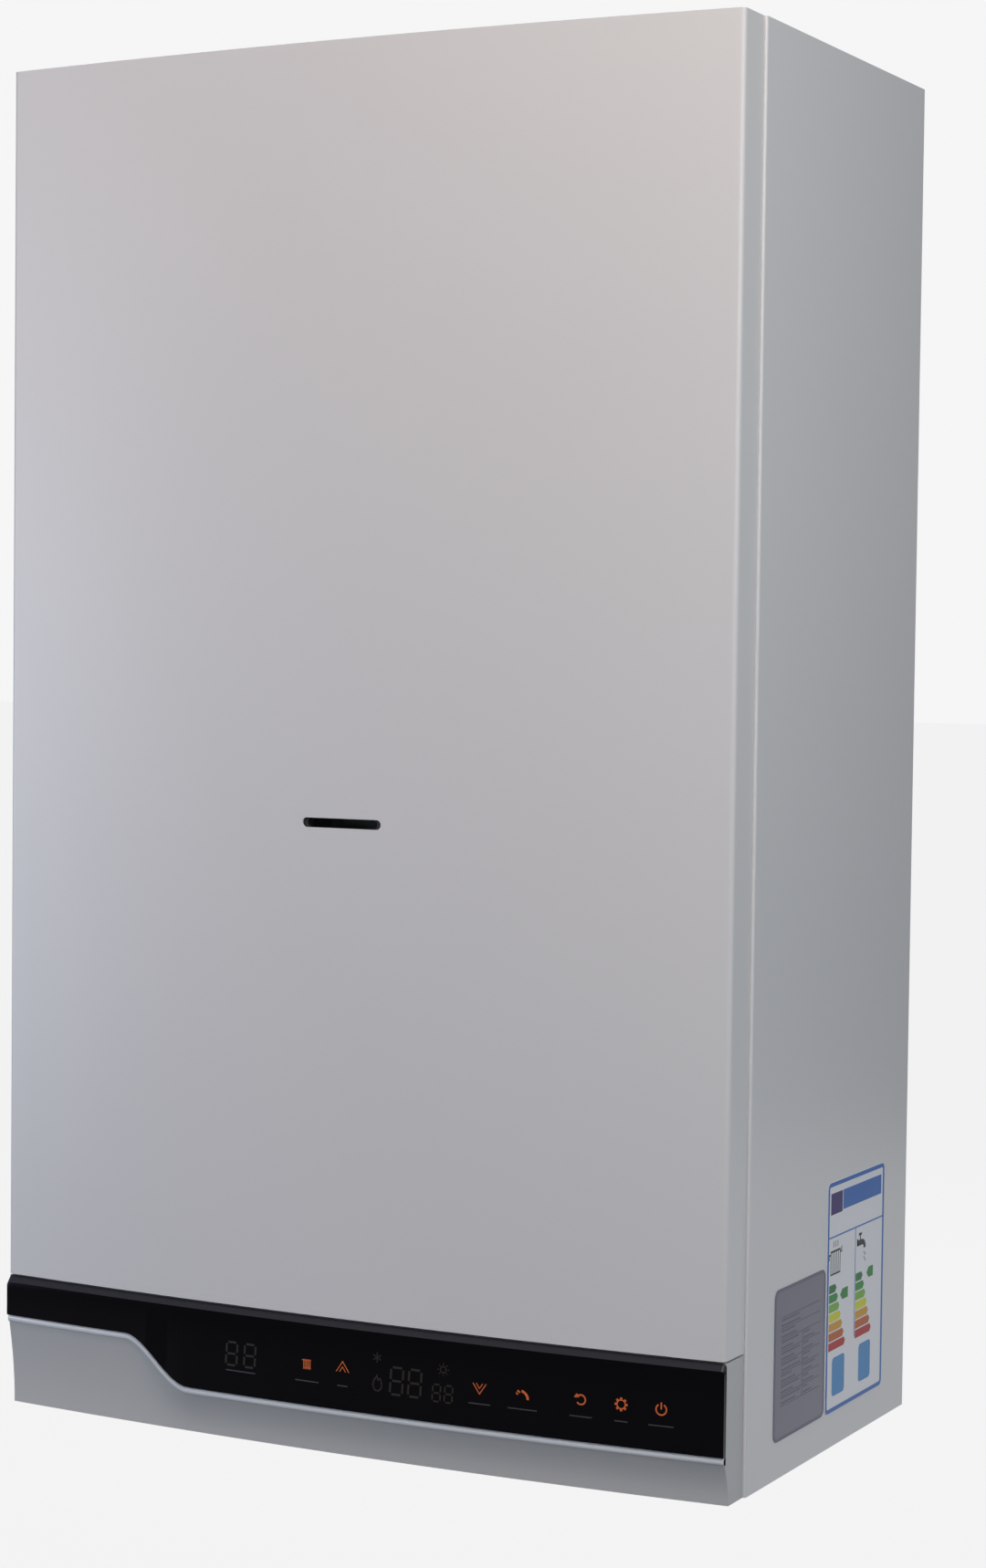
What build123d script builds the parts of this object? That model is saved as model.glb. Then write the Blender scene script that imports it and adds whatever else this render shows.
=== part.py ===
from build123d import *
import math
import os

# A wall-hung gas boiler with a room-sealed fan flue, a bowed front cover and a tilting control panel.
# Lengths are millimetres. The wall is the plane y = 0, the front faces -y, +x is to the right and +z is up.
# The origin is midway between the two wall screws of the hanging bracket.
# Heights marked "height" are measured up from the lower edge of the side panels, depths from the wall.

# Case, the sizes that drive the rest
case_height = 720
case_depth = 245
cover_width = 424
front_bow = 9
hang_drop = 60
panel_proud = 1.5
flange_depth = 23
control_height = 71
sheet = 1.0
frame_sheet = 1.2
seam = 0.6
corner_radius = 3
touch_gap = 0.3
fit_gap = 0.05
overrun = 5

# Hanging bracket
bracket_width = 350
bracket_above = 12
bracket_below = 18
bracket_sheet = 2
wall_hole_spacing = 300
wall_hole_radius = 4.5
hook_spacing = 220
hook_width = 40
hook_reach = 17
hook_rise = 20
hook_play = 2

# Back frame, folded from one sheet with a rail down each side
back_inset = 12
rail_width = 22.5
rail_return = 30

# Side panels
panel_return = 15
panel_fold_radius = 1.6

# Bottom plate and its hinge lugs
plate_height = 22
plate_front_depth = 144
lug_thickness = 2
lug_half_length = 8
lug_drop = 21
lug_gap = 3.2
lug_root = 5

# Front cover and its sight slot
slot_height = 325
slot_width = 46
slot_opening = 5
tongue_heights = (180, 610)
tongue_tall = 30
tongue_inset = 5
tongue_front = 14
tongue_back = 10
tongue_play = 0.8
insert_width = 64
insert_tall = 20
insert_thick = 4
insert_narrower = 5

# Control panel
panel_gap = 0.4
shell_wall = 2.5
seat_depth = 1.7
pocket_depth = 8
trim_high = 48.8
trim_low = 24.8
swoosh_start = -131.5
swoosh_end = -90.5
swoosh_steps = 8
bead_proud = 0.3
bead_tall = 3.8
bead_deep = 1.8
bead_return = 1.2
trim_lap = 0.5
trim_set_back = 6
cove_lean_share = 1.8
fascia_proud = 1.3
fascia_thick = 3
fascia_wider = 0.2
fascia_bevel_tall = 3.4
fascia_bevel_deep = 2.4
line_gap = 0.15
tray_width = 391
tray_floor = 3
tray_top = 66
tray_back_depth = 147
tray_front_depth = 237
hinge_depth = 152
hinge_height = 6
hinge_radius = 2.5
hinge_pin_length = 5
lid_thick = 1.5
lid_margin = 2.5
lid_slot_count = 5
lid_slot_pitch = 18
lid_slot_wide = 2.5
lid_slot_end = 28

# Circuit boards
board_thick = 1.6
display_left = -92
display_right = 196
display_low = 30
display_high = 64
display_gap = 0.5
display_frame = 10
main_board_left = -172
main_board_right = 108
main_board_front = 218
main_board_back = 160
post_height = 6
post_radius = 3
transformer = (52, 40, 34)
relay = (18, 14, 15)
relay_count = 5
relay_pitch = 23.4
capacitor_radius = 6
capacitor_tall = 20
connector = (28, 8, 11)
connector_count = 5
connector_pitch = 33.6

# Sealed chamber around the burner and its lid
chamber_width = 384
chamber_back = 80
chamber_front = 228
chamber_floor = 250
chamber_lip = 14
lid_sheet = 1.5
lid_overlap = 2
lid_press = 26
lid_press_deep = 2
window_width = 56
window_tall = 20
window_frame = 7
window_frame_deep = 3.5
window_glass = 3

# Screws, all alike
screw_shank = 2
screw_head = 4
screw_head_tall = 2.4
screw_length = 8
screw_hole_gap = 0.05
lid_screw_inset = 7

# Flue adapter on the top plate
flue_depth = 132
flue_bore = 30
flue_wall = 1.5
collar_radius = 51.5
collar_wall = 2
collar_tall = 12
adapter_flange = 70
adapter_flange_thick = 3
adapter_screw_circle = 63.5
adapter_screw_count = 4
adapter_screw_turn = 45
adapter_tube_drop = 26
rib_thick = 3
rib_count = 3

# Combustion chamber and its ceramic boards
fire_width = 250
fire_back = 95
fire_front = 215
fire_bottom = 302
fire_top = 424
ceramic_thick = 12
bracket_tab = 30

# Heat exchanger
exchanger_tall = 72
exchanger_width = 256
exchanger_sheet = 1.5
fin_count = 31
fin_thick = 1.2
fin_pitch = 7.8
water_tube = 8
tube_rows = 5
tube_pitch = 22
header_deep = 13

# Burner and gas manifold
burner_width = 216
burner_bottom = 266
blade_count = 12
blade_pitch = 17
blade_thick = 8
blade_front = 204
blade_back = 104
rail_thick = 3
manifold_square = 14
manifold_height = 272
manifold_front = 224
injector_radius = 3
nut_tall = 10.5
nut_over = 2
riser_x = 20
riser_radius = 8
copper_wall = 1
electrode_height = 316
electrode_places = (-64, -40, 64)
electrode_radius = 4
electrode_wire = 1.2
electrode_flange = 8
electrode_flange_thick = 2

# Flue hood
hood_top_height = 545
hood_box_top = 668
hood_box_width = 124
hood_box_deep = 22
hood_back = 84

# Fan
fan_height = 614
fan_radius = 64
fan_inlet_radius = 34
scroll_sheet = 1.2
scroll_deep = 48
wheel_radius = 50
wheel_deep = 34
wheel_blades = 24
wheel_blade_thick = 1.2
wheel_blade_long = 9
wheel_blade_turn = 35
wheel_sheet = 1.5
fan_shaft_radius = 3
fan_shaft_hole = 6
motor_radius = 34
motor_deep = 38
motor_gap = 4
motor_foot = 5
motor_foot_count = 3
motor_foot_circle = 24
shaft_end_gap = 2.5
outlet_collar_tall = 20

# Pressure switch and its two tubes
switch_x = -142
switch_height = 640
switch_radius = 30
switch_thick = 22
switch_edge = 4.4
nipple_radius = 2.5
nipple_long = 10
sense_tube = 3.5
sense_bend = 14
sense_spread = 16

# Expansion vessel and its hose
vessel_width = 340
vessel_bottom = 262
vessel_top = 640
vessel_thick = 58
vessel_back = 16
vessel_corner = 44
vessel_round = 16
vessel_wall = 1.5
vessel_rim = 6
vessel_rim_thick = 3
vessel_pad = 12
vessel_pad_inset = 60
vessel_pad_sunk = 2
hose_radius = 6
hose_bend = 22

# Connections under the case: centre depth, places along x and the thread sizes
connection_depth = 95
flow_x = -100
hot_x = -65
cold_x = 65
return_x = 100
connection_drop = 22
thread_long = 16
thread_relief = 0.8
wide_thread = 13.2
wide_bore = 9
small_thread = 10.48
small_bore = 7
collar_over = 3.5
pipe_collar_tall = 8
plate_hole_gap = 1.0

# Water blocks either side of the plate heat exchanger
block_back = 70
block_bottom = 40
diverter_left = -142
diverter_right = -76
diverter_front = 124
diverter_top = 112
return_left = 82
return_right = 146
return_front = 144
return_top = 98
block_round = 4
spool_radius = 8
spool_bore_gap = 0.05
spool_long = 30
spool_stroke = 8
spool_stem = 3
spool_height = 62
diverter_motor_width = 36
diverter_motor_tall = 44
plate_pack_width = 204
plate_pack_back = 20
plate_pack_front = 66
plate_pack_bottom = 60
plate_pack_top = 134
pack_plate_pitch = 4
pack_groove = 1
pack_port = 9
pack_port_places = (-92, 92)

# Copper pipes
copper_radius = 9
copper_bend = 20
thin_copper = 7.5
thin_bend = 14
riser_top_bend = 14.5
pump_low_bend = 14
pump_high_bend = 18
riser_side = 166
riser_depth = 155
hot_port_height = 80
pass_gap = 2

# Pump
pump_x = 118
pump_height = 150
pump_back = 108
volute_deep = 46
volute_radius = 40
volute_wall = 4
pump_motor_radius = 37
pump_motor_deep = 56
pump_fin_count = 5
pump_bore_deep = 44.8
rotor_radius = 30
rotor_deep = 20
rotor_blades = 6
rotor_shaft = 4
rotor_blade_thick = 3
rotor_blade_circle = 18
rotor_blade_long = 21
rotor_blade_turn = 30
neck_radius = 14
pump_outlet_x = 138

# Automatic air vent on the pump
vent_x = 98
vent_depth = 131
vent_radius = 12
vent_tall = 30
vent_stem = 3
vent_cap_radius = 6
vent_cap_tall = 9

# Flow sensor with its turbine
sensor_radius = 15
sensor_wall = 3
sensor_bottom = 46
sensor_tall = 44
turbine_radius = 9
turbine_tall = 14
turbine_blades = 4
turbine_pin = 1.5
turbine_blade_thick = 1.5
turbine_hub = 3
sensor_web = 3

# Safety valve and filling tap
relief_x = 168
relief_height = 84
relief_radius = 13
relief_back = 82
relief_front = 124
relief_drain = 8
relief_knob_radius = 17
relief_knob_deep = 18
knob_gap = 1
knob_stem = 3
knob_stem_long = 12
knob_ribs = 12
knob_rib_radius = 1.4
tap_x = 36
tap_depth = 126
tap_radius = 9
tap_bottom = 8
tap_top = 56
tap_knob_radius = 11
tap_knob_tall = 14

# Pressure gauge in the bottom plate
gauge_x = -34
gauge_depth = 118
gauge_radius = 19
gauge_bottom = 4
gauge_wall = 1.5
gauge_dial = 7
gauge_rim = 2
pointer_long = 14
pointer_wide = 1.6
pointer_thick = 0.8
pointer_hub = 3
pointer_pin = 1
pointer_pin_long = 2.5
gauge_tail = 4

# Gas valve
gas_x = 0
valve_width = 92
valve_back = 135
valve_front = 222
valve_bottom = 88
valve_top = 190
valve_round = 5
valve_plug_low = 10
valve_plug_tall = 40
valve_plug_deep = 5
coil_radius = 15
coil_tall = 26
coil_places = (-22, 20)
valve_inlet_height = 112

# Cable grommet
grommet_x = 184
grommet_depth = 118
grommet_bore = 4
grommet_radius = 8
grommet_lip = 11
grommet_over = 5

# Plates stuck to the right side panel: distance from the front edge line of the cover, and height
label_thick = 0.4
energy_front = 128
energy_wide = 82
energy_low = 18.5
energy_tall = 121
rating_front = 58
rating_wide = 68
rating_low = 19
rating_tall = 77
plate_corner = 4

# Places worked out from the sizes above
case_bottom = hang_drop - case_height
half_cover = cover_width / 2
side_out = half_cover + panel_proud
side_in = side_out - sheet
front_y = -case_depth
flange_y = front_y + flange_depth
panel_front_y = flange_y + seam
bow_radius = (half_cover**2 + front_bow**2) / (2 * front_bow)
bow_centre_y = front_y - front_bow + bow_radius
flue_centre = (0, -flue_depth)
half_chamber = chamber_width / 2
plate_top_height = plate_height + frame_sheet
top_sheet_height = case_height - frame_sheet
swoosh_step = (swoosh_end - swoosh_start) / swoosh_steps
swoosh_places = [swoosh_start + swoosh_step * count for count in range(swoosh_steps + 1)]

os.makedirs("parts", exist_ok=True)


def up(height):
    """The z of a height above the lower edge of the case."""
    return case_bottom + height


def save(piece, name):
    """Label a finished piece and write it."""
    piece.part.label = name
    export_step(piece.part, f"parts/{name}.step")


def upright(x, y, z, toward=-1):
    """A sketch plane across the case: toward -1 faces the room, 1 faces the wall."""
    return Plane(origin=(x, y, z), x_dir=(1, 0, 0), z_dir=(0, toward, 0))


def block(x, y, z, mode=Mode.ADD):
    """A box between two limits along each axis."""
    with Locations(((x[0] + x[1]) / 2, (y[0] + y[1]) / 2, (z[0] + z[1]) / 2)):
        Box(abs(x[1] - x[0]), abs(y[1] - y[0]), abs(z[1] - z[0]), mode=mode)


def rod(start, direction, radius, length, mode=Mode.ADD):
    """A round bar from a start point along a direction."""
    with BuildSketch(Plane(origin=start, z_dir=direction)) as profile:
        Circle(radius)
    extrude(profile.sketch, amount=length, mode=mode)


def tube(start, direction, radius, bore, length):
    """A round bar with a hole right through it."""
    with BuildSketch(Plane(origin=start, z_dir=direction)) as profile:
        Circle(radius)
        Circle(bore, mode=Mode.SUBTRACT)
    extrude(profile.sketch, amount=length)


def bent_tube(points, bend, radius, bore):
    """A tube along straight runs with rounded bends."""
    with BuildLine() as route:
        FilletPolyline(*points, radius=bend)
    with BuildSketch(Plane(origin=route.line @ 0, z_dir=route.line % 0)) as profile:
        Circle(radius)
        Circle(bore, mode=Mode.SUBTRACT)
    sweep(profile.sketch, path=route.line)


def threaded_end(x, radius, bore):
    """A pipe end below the bottom plate: a thread drawn plain, a relieved neck and a collar on the plate."""
    low = up(-connection_drop)
    tube((x, -connection_depth, low), (0, 0, 1), radius, bore, thread_long)
    tube((x, -connection_depth, low + thread_long), (0, 0, 1), radius - thread_relief, bore,
         connection_drop + plate_top_height - thread_long)
    tube((x, -connection_depth, up(plate_top_height)), (0, 0, 1), radius + collar_over, bore,
         pipe_collar_tall)


def bow_y(x, out=0):
    """The y of the bowed front at x, moved out by a distance."""
    return bow_centre_y - math.sqrt((bow_radius + out) ** 2 - x**2)


def bowed_band(out, back, x, z, mode=Mode.ADD):
    """A plate that follows the bow, from `out` in front of the front surface to `back` behind it."""
    middle = (x[0] + x[1]) / 2
    with BuildSketch(Plane.XY.offset(z[0])) as profile:
        with BuildLine():
            ThreePointArc((x[0], bow_y(x[0], out)), (middle, bow_y(middle, out)), (x[1], bow_y(x[1], out)))
            Line((x[1], bow_y(x[1], out)), (x[1], bow_y(x[1], -back)))
            ThreePointArc((x[1], bow_y(x[1], -back)), (middle, bow_y(middle, -back)),
                          (x[0], bow_y(x[0], -back)))
            Line((x[0], bow_y(x[0], -back)), (x[0], bow_y(x[0], out)))
        make_face()
    extrude(profile.sketch, amount=z[1] - z[0], mode=mode)


def front_outline(out, half_width, back_y):
    """The plan of a bowed front with straight sides, as a closed face in the open sketch."""
    corner_y = bow_y(half_width, out)
    with BuildLine() as outline:
        ThreePointArc((-half_width, corner_y), (0, bow_y(0, out)), (half_width, corner_y))
        Polyline((half_width, corner_y), (half_width, back_y), (-half_width, back_y), (-half_width, corner_y))
    make_face(outline.edges())


def trim_height(x):
    """The height of the light trim's upper edge: high at the left, then an S down to the low run."""
    share = min(max((x - swoosh_start) / (swoosh_end - swoosh_start), 0), 1)
    return trim_high + (trim_low - trim_high) * share**2 * (3 - 2 * share)


# Wall bracket: a steel strip screwed to the wall, with two upturned hooks
with BuildPart() as wall_bracket:
    block((-bracket_width / 2, bracket_width / 2), (-bracket_sheet, 0), (-bracket_below, bracket_above))
    for side in (-1, 1):
        hook = (side * hook_spacing / 2 - hook_width / 2, side * hook_spacing / 2 + hook_width / 2)
        block(hook, (-hook_reach, 0), (-bracket_below, bracket_sheet - bracket_below))
        block(hook, (-hook_reach, bracket_sheet - hook_reach), (-bracket_below, hook_rise - bracket_below))
        rod((side * wall_hole_spacing / 2, overrun, 0), (0, -1, 0), wall_hole_radius,
            2 * overrun + bracket_sheet, mode=Mode.SUBTRACT)
save(wall_bracket, "wall_bracket")

# Back frame: one folded sheet, slotted for the hooks
with BuildPart() as chassis_frame:
    rail_in = side_in - rail_width
    with BuildSketch(Plane.XY.offset(up(plate_top_height))):
        with BuildLine():
            Polyline((-side_in, -rail_return), (-side_in, 0), (-rail_in, 0), (-rail_in, -back_inset),
                     (rail_in, -back_inset), (rail_in, 0), (side_in, 0), (side_in, -rail_return))
            offset(amount=frame_sheet, side=Side.RIGHT)
        make_face()
    extrude(amount=top_sheet_height - plate_top_height)
    hook_seat = bracket_sheet - bracket_below
    for side in (-1, 1):
        half_slot = hook_width / 2 + hook_play
        block((side * hook_spacing / 2 - half_slot, side * hook_spacing / 2 + half_slot),
              (-back_inset - frame_sheet - overrun / 2, overrun / 2 - back_inset),
              (hook_seat - hook_rise - hook_play, hook_seat), mode=Mode.SUBTRACT)
save(chassis_frame, "chassis_frame")

# Side panels: painted sheet with a rounded front fold and a return that takes the cover's tongues
tongue_x = half_cover - sheet - tongue_inset
with BuildPart() as side_panel_right:
    with BuildSketch(Plane.XY.offset(case_bottom)):
        with BuildLine():
            Polyline((side_out, 0), (side_out, panel_front_y), (side_out - panel_return, panel_front_y))
            offset(amount=sheet, side=Side.RIGHT)
        make_face()
    extrude(amount=case_height)
    fold = side_panel_right.edges().filter_by(Axis.Z).sort_by_distance((side_out, panel_front_y, 0))[0]
    fillet(fold, panel_fold_radius)
    for height in tongue_heights:
        block((tongue_x - tongue_play, tongue_x + frame_sheet + tongue_play),
              (panel_front_y - overrun, panel_front_y + sheet + overrun),
              (up(height) - tongue_play, up(height + tongue_tall) + tongue_play), mode=Mode.SUBTRACT)
save(side_panel_right, "side_panel_right")

with BuildPart() as side_panel_left:
    mirror(side_panel_right.part, about=Plane.YZ)
save(side_panel_left, "side_panel_left")

# Top plate: closes the case and carries the flue adapter
top_plate_front = panel_front_y + sheet
with BuildPart() as top_plate:
    block((-side_in, side_in), (top_plate_front, 0), (up(top_sheet_height), up(case_height)))
    rod((*flue_centre, up(case_height) + overrun), (0, 0, -1), collar_radius - collar_wall, 2 * overrun,
        mode=Mode.SUBTRACT)
    with Locations((*flue_centre, up(case_height))):
        with PolarLocations(adapter_screw_circle, adapter_screw_count, start_angle=adapter_screw_turn):
            Hole(screw_shank + screw_hole_gap, depth=2 * overrun)
save(top_plate, "top_plate")

# Bottom plate: the pipes pass through it, and its two lugs carry the control panel
plate_holes = [
    (flow_x, connection_depth, wide_thread), (return_x, connection_depth, wide_thread),
    (hot_x, connection_depth, small_thread), (cold_x, connection_depth, small_thread),
    (gas_x, connection_depth, wide_thread), (relief_x, connection_depth, relief_drain),
    (tap_x, tap_depth, tap_radius), (gauge_x, gauge_depth, gauge_radius),
]
with BuildPart() as bottom_plate:
    block((-side_in, side_in), (-plate_front_depth, 0), (up(plate_height), up(plate_top_height)))
    for side in (-1, 1):
        lug_in = side * (tray_width / 2 + lug_gap)
        block((lug_in, lug_in + side * lug_thickness),
              (-hinge_depth - lug_half_length, lug_root - plate_front_depth),
              (up(plate_height - lug_drop), up(plate_height)))
        rod((lug_in - side * overrun, -hinge_depth, up(hinge_height)), (side, 0, 0), hinge_radius + fit_gap,
            3 * overrun, mode=Mode.SUBTRACT)
    for x, depth, radius in plate_holes:
        rod((x, -depth, up(plate_height) - overrun), (0, 0, 1), radius + plate_hole_gap,
            2 * overrun + frame_sheet, mode=Mode.SUBTRACT)
    rod((grommet_x, -grommet_depth, up(plate_height) - overrun), (0, 0, 1), grommet_radius,
        2 * overrun + frame_sheet, mode=Mode.SUBTRACT)
save(bottom_plate, "bottom_plate")

# Front cover: a bowed steel pan with flanges all round, a sight slot and four tongues
cover_bottom = up(control_height) + seam
with BuildPart() as front_cover:
    with BuildSketch(Plane.XY.offset(cover_bottom)):
        front_outline(0, half_cover, flange_y)
    extrude(amount=up(case_height) - cover_bottom)
    fillet(front_cover.edges().filter_by(Axis.Z).group_by(Axis.Y)[0], corner_radius)
    offset(amount=-sheet, openings=front_cover.faces().sort_by(Axis.Y)[-1])
    with BuildSketch(upright(0, front_y - front_bow - overrun, up(slot_height), 1)):
        SlotOverall(slot_width, slot_opening)
    extrude(amount=2 * overrun, mode=Mode.SUBTRACT)
    for side in (-1, 1):
        inner = side * (half_cover - sheet)
        tongue = side * tongue_x
        for height in tongue_heights:
            tall = (up(height), up(height + tongue_tall))
            block((tongue, inner), (flange_y - tongue_front, flange_y - tongue_front + tongue_back), tall)
            block((tongue, tongue + side * frame_sheet),
                  (flange_y - tongue_front, flange_y + tongue_back), tall)
save(front_cover, "front_cover")

# Sight slot insert: a dark plastic frame behind the slot
with BuildPart() as peephole_insert:
    bowed_band(-sheet - line_gap, sheet + line_gap + insert_thick, (-insert_width / 2, insert_width / 2),
               (up(slot_height) - insert_tall / 2, up(slot_height) + insert_tall / 2))
    with BuildSketch(upright(0, front_y - front_bow - overrun, up(slot_height), 1)):
        SlotOverall(slot_width - insert_narrower, slot_opening - 2 * line_gap)
    extrude(amount=4 * overrun, mode=Mode.SUBTRACT)
save(peephole_insert, "peephole_insert")


def trim_section(x):
    """The space in front of the trim at x, as a closed section on the plane through the bow's centre."""
    angle = math.degrees(math.asin(x / bow_radius))
    plane = Plane(origin=(0, bow_centre_y, case_bottom), x_dir=Vector(0, -1, 0).rotate(Axis.Z, angle),
                  z_dir=Vector(-1, 0, 0).rotate(Axis.Z, angle))
    top = trim_height(x)
    bead_front = bow_radius + bead_proud
    bead_back = bead_front - bead_deep
    bead_low = top - bead_tall
    cove_front = bead_front - bead_return
    foot = bow_radius - trim_set_back
    cove_lean = cove_lean_share * (cove_front - foot) / bead_low
    far = bow_radius + overrun
    with BuildSketch(plane) as section:
        with BuildLine():
            ThreePointArc((bead_back, top), (bead_front, top - bead_tall / 2), (cove_front, bead_low))
            Spline((cove_front, bead_low), (foot, 0), tangents=((-cove_lean, -1), (0, -1)))
            Polyline((foot, 0), (foot, -overrun), (far, -overrun), (far, top + trim_lap),
                     (bead_back, top + trim_lap), (bead_back, top))
        make_face()
    return section.sketch, angle


def fascia_area(gap):
    """The outline of the dark fascia seen from the front, its lower edge along the trim plus a gap."""
    half = half_cover + fascia_wider
    curve = [(x, up(trim_height(x)) + gap) for x in swoosh_places]
    high = up(control_height) - panel_gap
    with BuildLine() as outline:
        Polyline((-half, curve[0][1]), curve[0])
        Spline(*curve, tangents=((1, 0), (1, 0)))
        Polyline(curve[-1], (half, curve[-1][1]), (half, high), (-half, high), (-half, curve[0][1]))
    make_face(outline.edges())


# Control panel housing: a light moulding with the swooping trim, the electronics tray and two hinge pins
housing_top = up(control_height) - panel_gap
half_tray = tray_width / 2
left_section, left_angle = trim_section(-half_cover - overrun)
start_angle = trim_section(swoosh_start)[1]
end_section, end_angle = trim_section(swoosh_end)
bow_axis = Axis((0, bow_centre_y, 0), (0, 0, 1))
with BuildPart() as trim_cutter:
    revolve(left_section, axis=bow_axis, revolution_arc=start_angle - left_angle)
    revolve(end_section, axis=bow_axis,
            revolution_arc=math.degrees(math.asin((half_cover + overrun) / bow_radius)) - end_angle)
    loft([trim_section(x)[0] for x in swoosh_places])
with BuildPart() as fascia_cutter:
    with BuildSketch(Plane.XZ.offset(case_depth - flange_depth)):
        fascia_area(0)
    extrude(amount=2 * flange_depth)
    bowed_band(2 * overrun, seat_depth, (-half_cover - overrun, half_cover + overrun),
               (case_bottom, up(control_height + overrun)), mode=Mode.INTERSECT)
with BuildPart() as pocket_cutter:
    with BuildSketch(Plane.XZ.offset(case_depth - flange_depth)):
        fascia_area(shell_wall)
    extrude(amount=2 * flange_depth)
    bowed_band(2 * overrun, pocket_depth, (shell_wall - half_cover, half_cover - shell_wall),
               (case_bottom, housing_top - shell_wall), mode=Mode.INTERSECT)
with BuildPart() as control_housing:
    with BuildSketch(Plane.XY.offset(case_bottom)):
        front_outline(bead_proud, half_cover, flange_y)
    extrude(amount=housing_top - case_bottom)
    with BuildSketch(Plane.XY.offset(case_bottom + shell_wall)):
        front_outline(-pocket_depth - shell_wall, half_cover - shell_wall, flange_y + overrun)
    extrude(amount=housing_top - case_bottom - 2 * shell_wall, mode=Mode.SUBTRACT)
    add(trim_cutter.part, mode=Mode.SUBTRACT)
    add(fascia_cutter.part, mode=Mode.SUBTRACT)
    add(pocket_cutter.part, mode=Mode.SUBTRACT)
    block((-half_tray, half_tray), (-tray_front_depth, -tray_back_depth),
          (up(tray_floor), up(tray_floor + shell_wall)))
    for side in (-1, 1):
        block((side * half_tray, side * (half_tray - shell_wall)), (-tray_front_depth, -tray_back_depth),
              (up(tray_floor), up(tray_top)))
        rod((side * half_tray, -hinge_depth, up(hinge_height)), (side, 0, 0), hinge_radius, hinge_pin_length)
    block((-half_tray, half_tray), (-tray_back_depth - shell_wall, -tray_back_depth),
          (up(tray_floor), up(tray_top)))
    post_places = [(x, y) for x in (main_board_left + post_radius, main_board_right - post_radius)
                   for y in (post_radius - main_board_front, -main_board_back - post_radius)]
    for x, y in post_places:
        rod((x, y, up(tray_floor + shell_wall)), (0, 0, 1), post_radius, post_height)
save(control_housing, "control_housing")

# Touch fascia: a dark glossy plate, proud of the cover, with a bevel along its upper edge
with BuildPart() as touch_fascia:
    with BuildSketch(Plane.XZ.offset(case_depth - flange_depth)):
        fascia_area(line_gap)
    extrude(amount=2 * flange_depth)
    bowed_band(fascia_proud, fascia_thick - fascia_proud, (-half_cover - overrun, half_cover + overrun),
               (case_bottom, up(control_height + overrun)), mode=Mode.INTERSECT)
    top_edges = touch_fascia.edges().group_by(Axis.Z)[-1]
    chamfer(top_edges.sort_by(Axis.Y)[0], fascia_bevel_tall, fascia_bevel_deep)
save(touch_fascia, "touch_fascia")

# Display board: a thin board sprung to the curve of the fascia, with its two number displays
board_front = seat_depth + display_gap
with BuildPart() as display_board:
    bowed_band(-board_front, board_front + board_thick, (display_left, display_right),
               (up(display_low), up(display_high)))
    bowed_band(-board_front - board_thick, pocket_depth, (display_left, display_left + display_frame),
               (up(display_low), up(display_high)))
    bowed_band(-board_front - board_thick, pocket_depth, (display_right - display_frame, display_right),
               (up(display_low), up(display_high)))
save(display_board, "display_board")

# Main board on four posts, with its transformer, relays, capacitors and connectors
with BuildPart() as main_board:
    board_z = up(tray_floor + shell_wall + post_height)
    board_top = board_z + board_thick
    block((main_board_left, main_board_right), (-main_board_front, -main_board_back), (board_z, board_top))
    board_middle_y = -(main_board_front + main_board_back) / 2
    left = main_board_left + transformer[0] / 4
    block((left, left + transformer[0]),
          (board_middle_y - transformer[1] / 2, board_middle_y + transformer[1] / 2),
          (board_top, board_top + transformer[2]))
    relay_left = left + transformer[0] + relay[1]
    for count in range(relay_count):
        x = relay_left + count * relay_pitch
        block((x, x + relay[0]), (board_middle_y, board_middle_y + relay[1]),
              (board_top, board_top + relay[2]))
        rod((x + relay[0] / 2, board_middle_y - relay[1] / 2, board_top), (0, 0, 1), capacitor_radius,
            capacitor_tall)
    for count in range(connector_count):
        x = relay_left + count * connector_pitch
        block((x, x + connector[0]), (-main_board_back - connector[1], -main_board_back),
              (board_top, board_top + connector[2]))
save(main_board, "main_board")

# Electronics cover: the lid on the tray
with BuildPart() as electronics_cover:
    block((lid_margin - half_tray, half_tray - lid_margin), (flange_y, -tray_back_depth - lid_margin),
          (up(tray_top), up(tray_top) + lid_thick))
    for count in range(lid_slot_count):
        x = (count - (lid_slot_count - 1) / 2) * lid_slot_pitch
        block((x, x + lid_slot_wide), (flange_y + lid_slot_end, -tray_back_depth - lid_slot_end),
              (up(tray_top) - overrun, up(tray_top) + overrun), mode=Mode.SUBTRACT)
save(electronics_cover, "electronics_cover")

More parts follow.
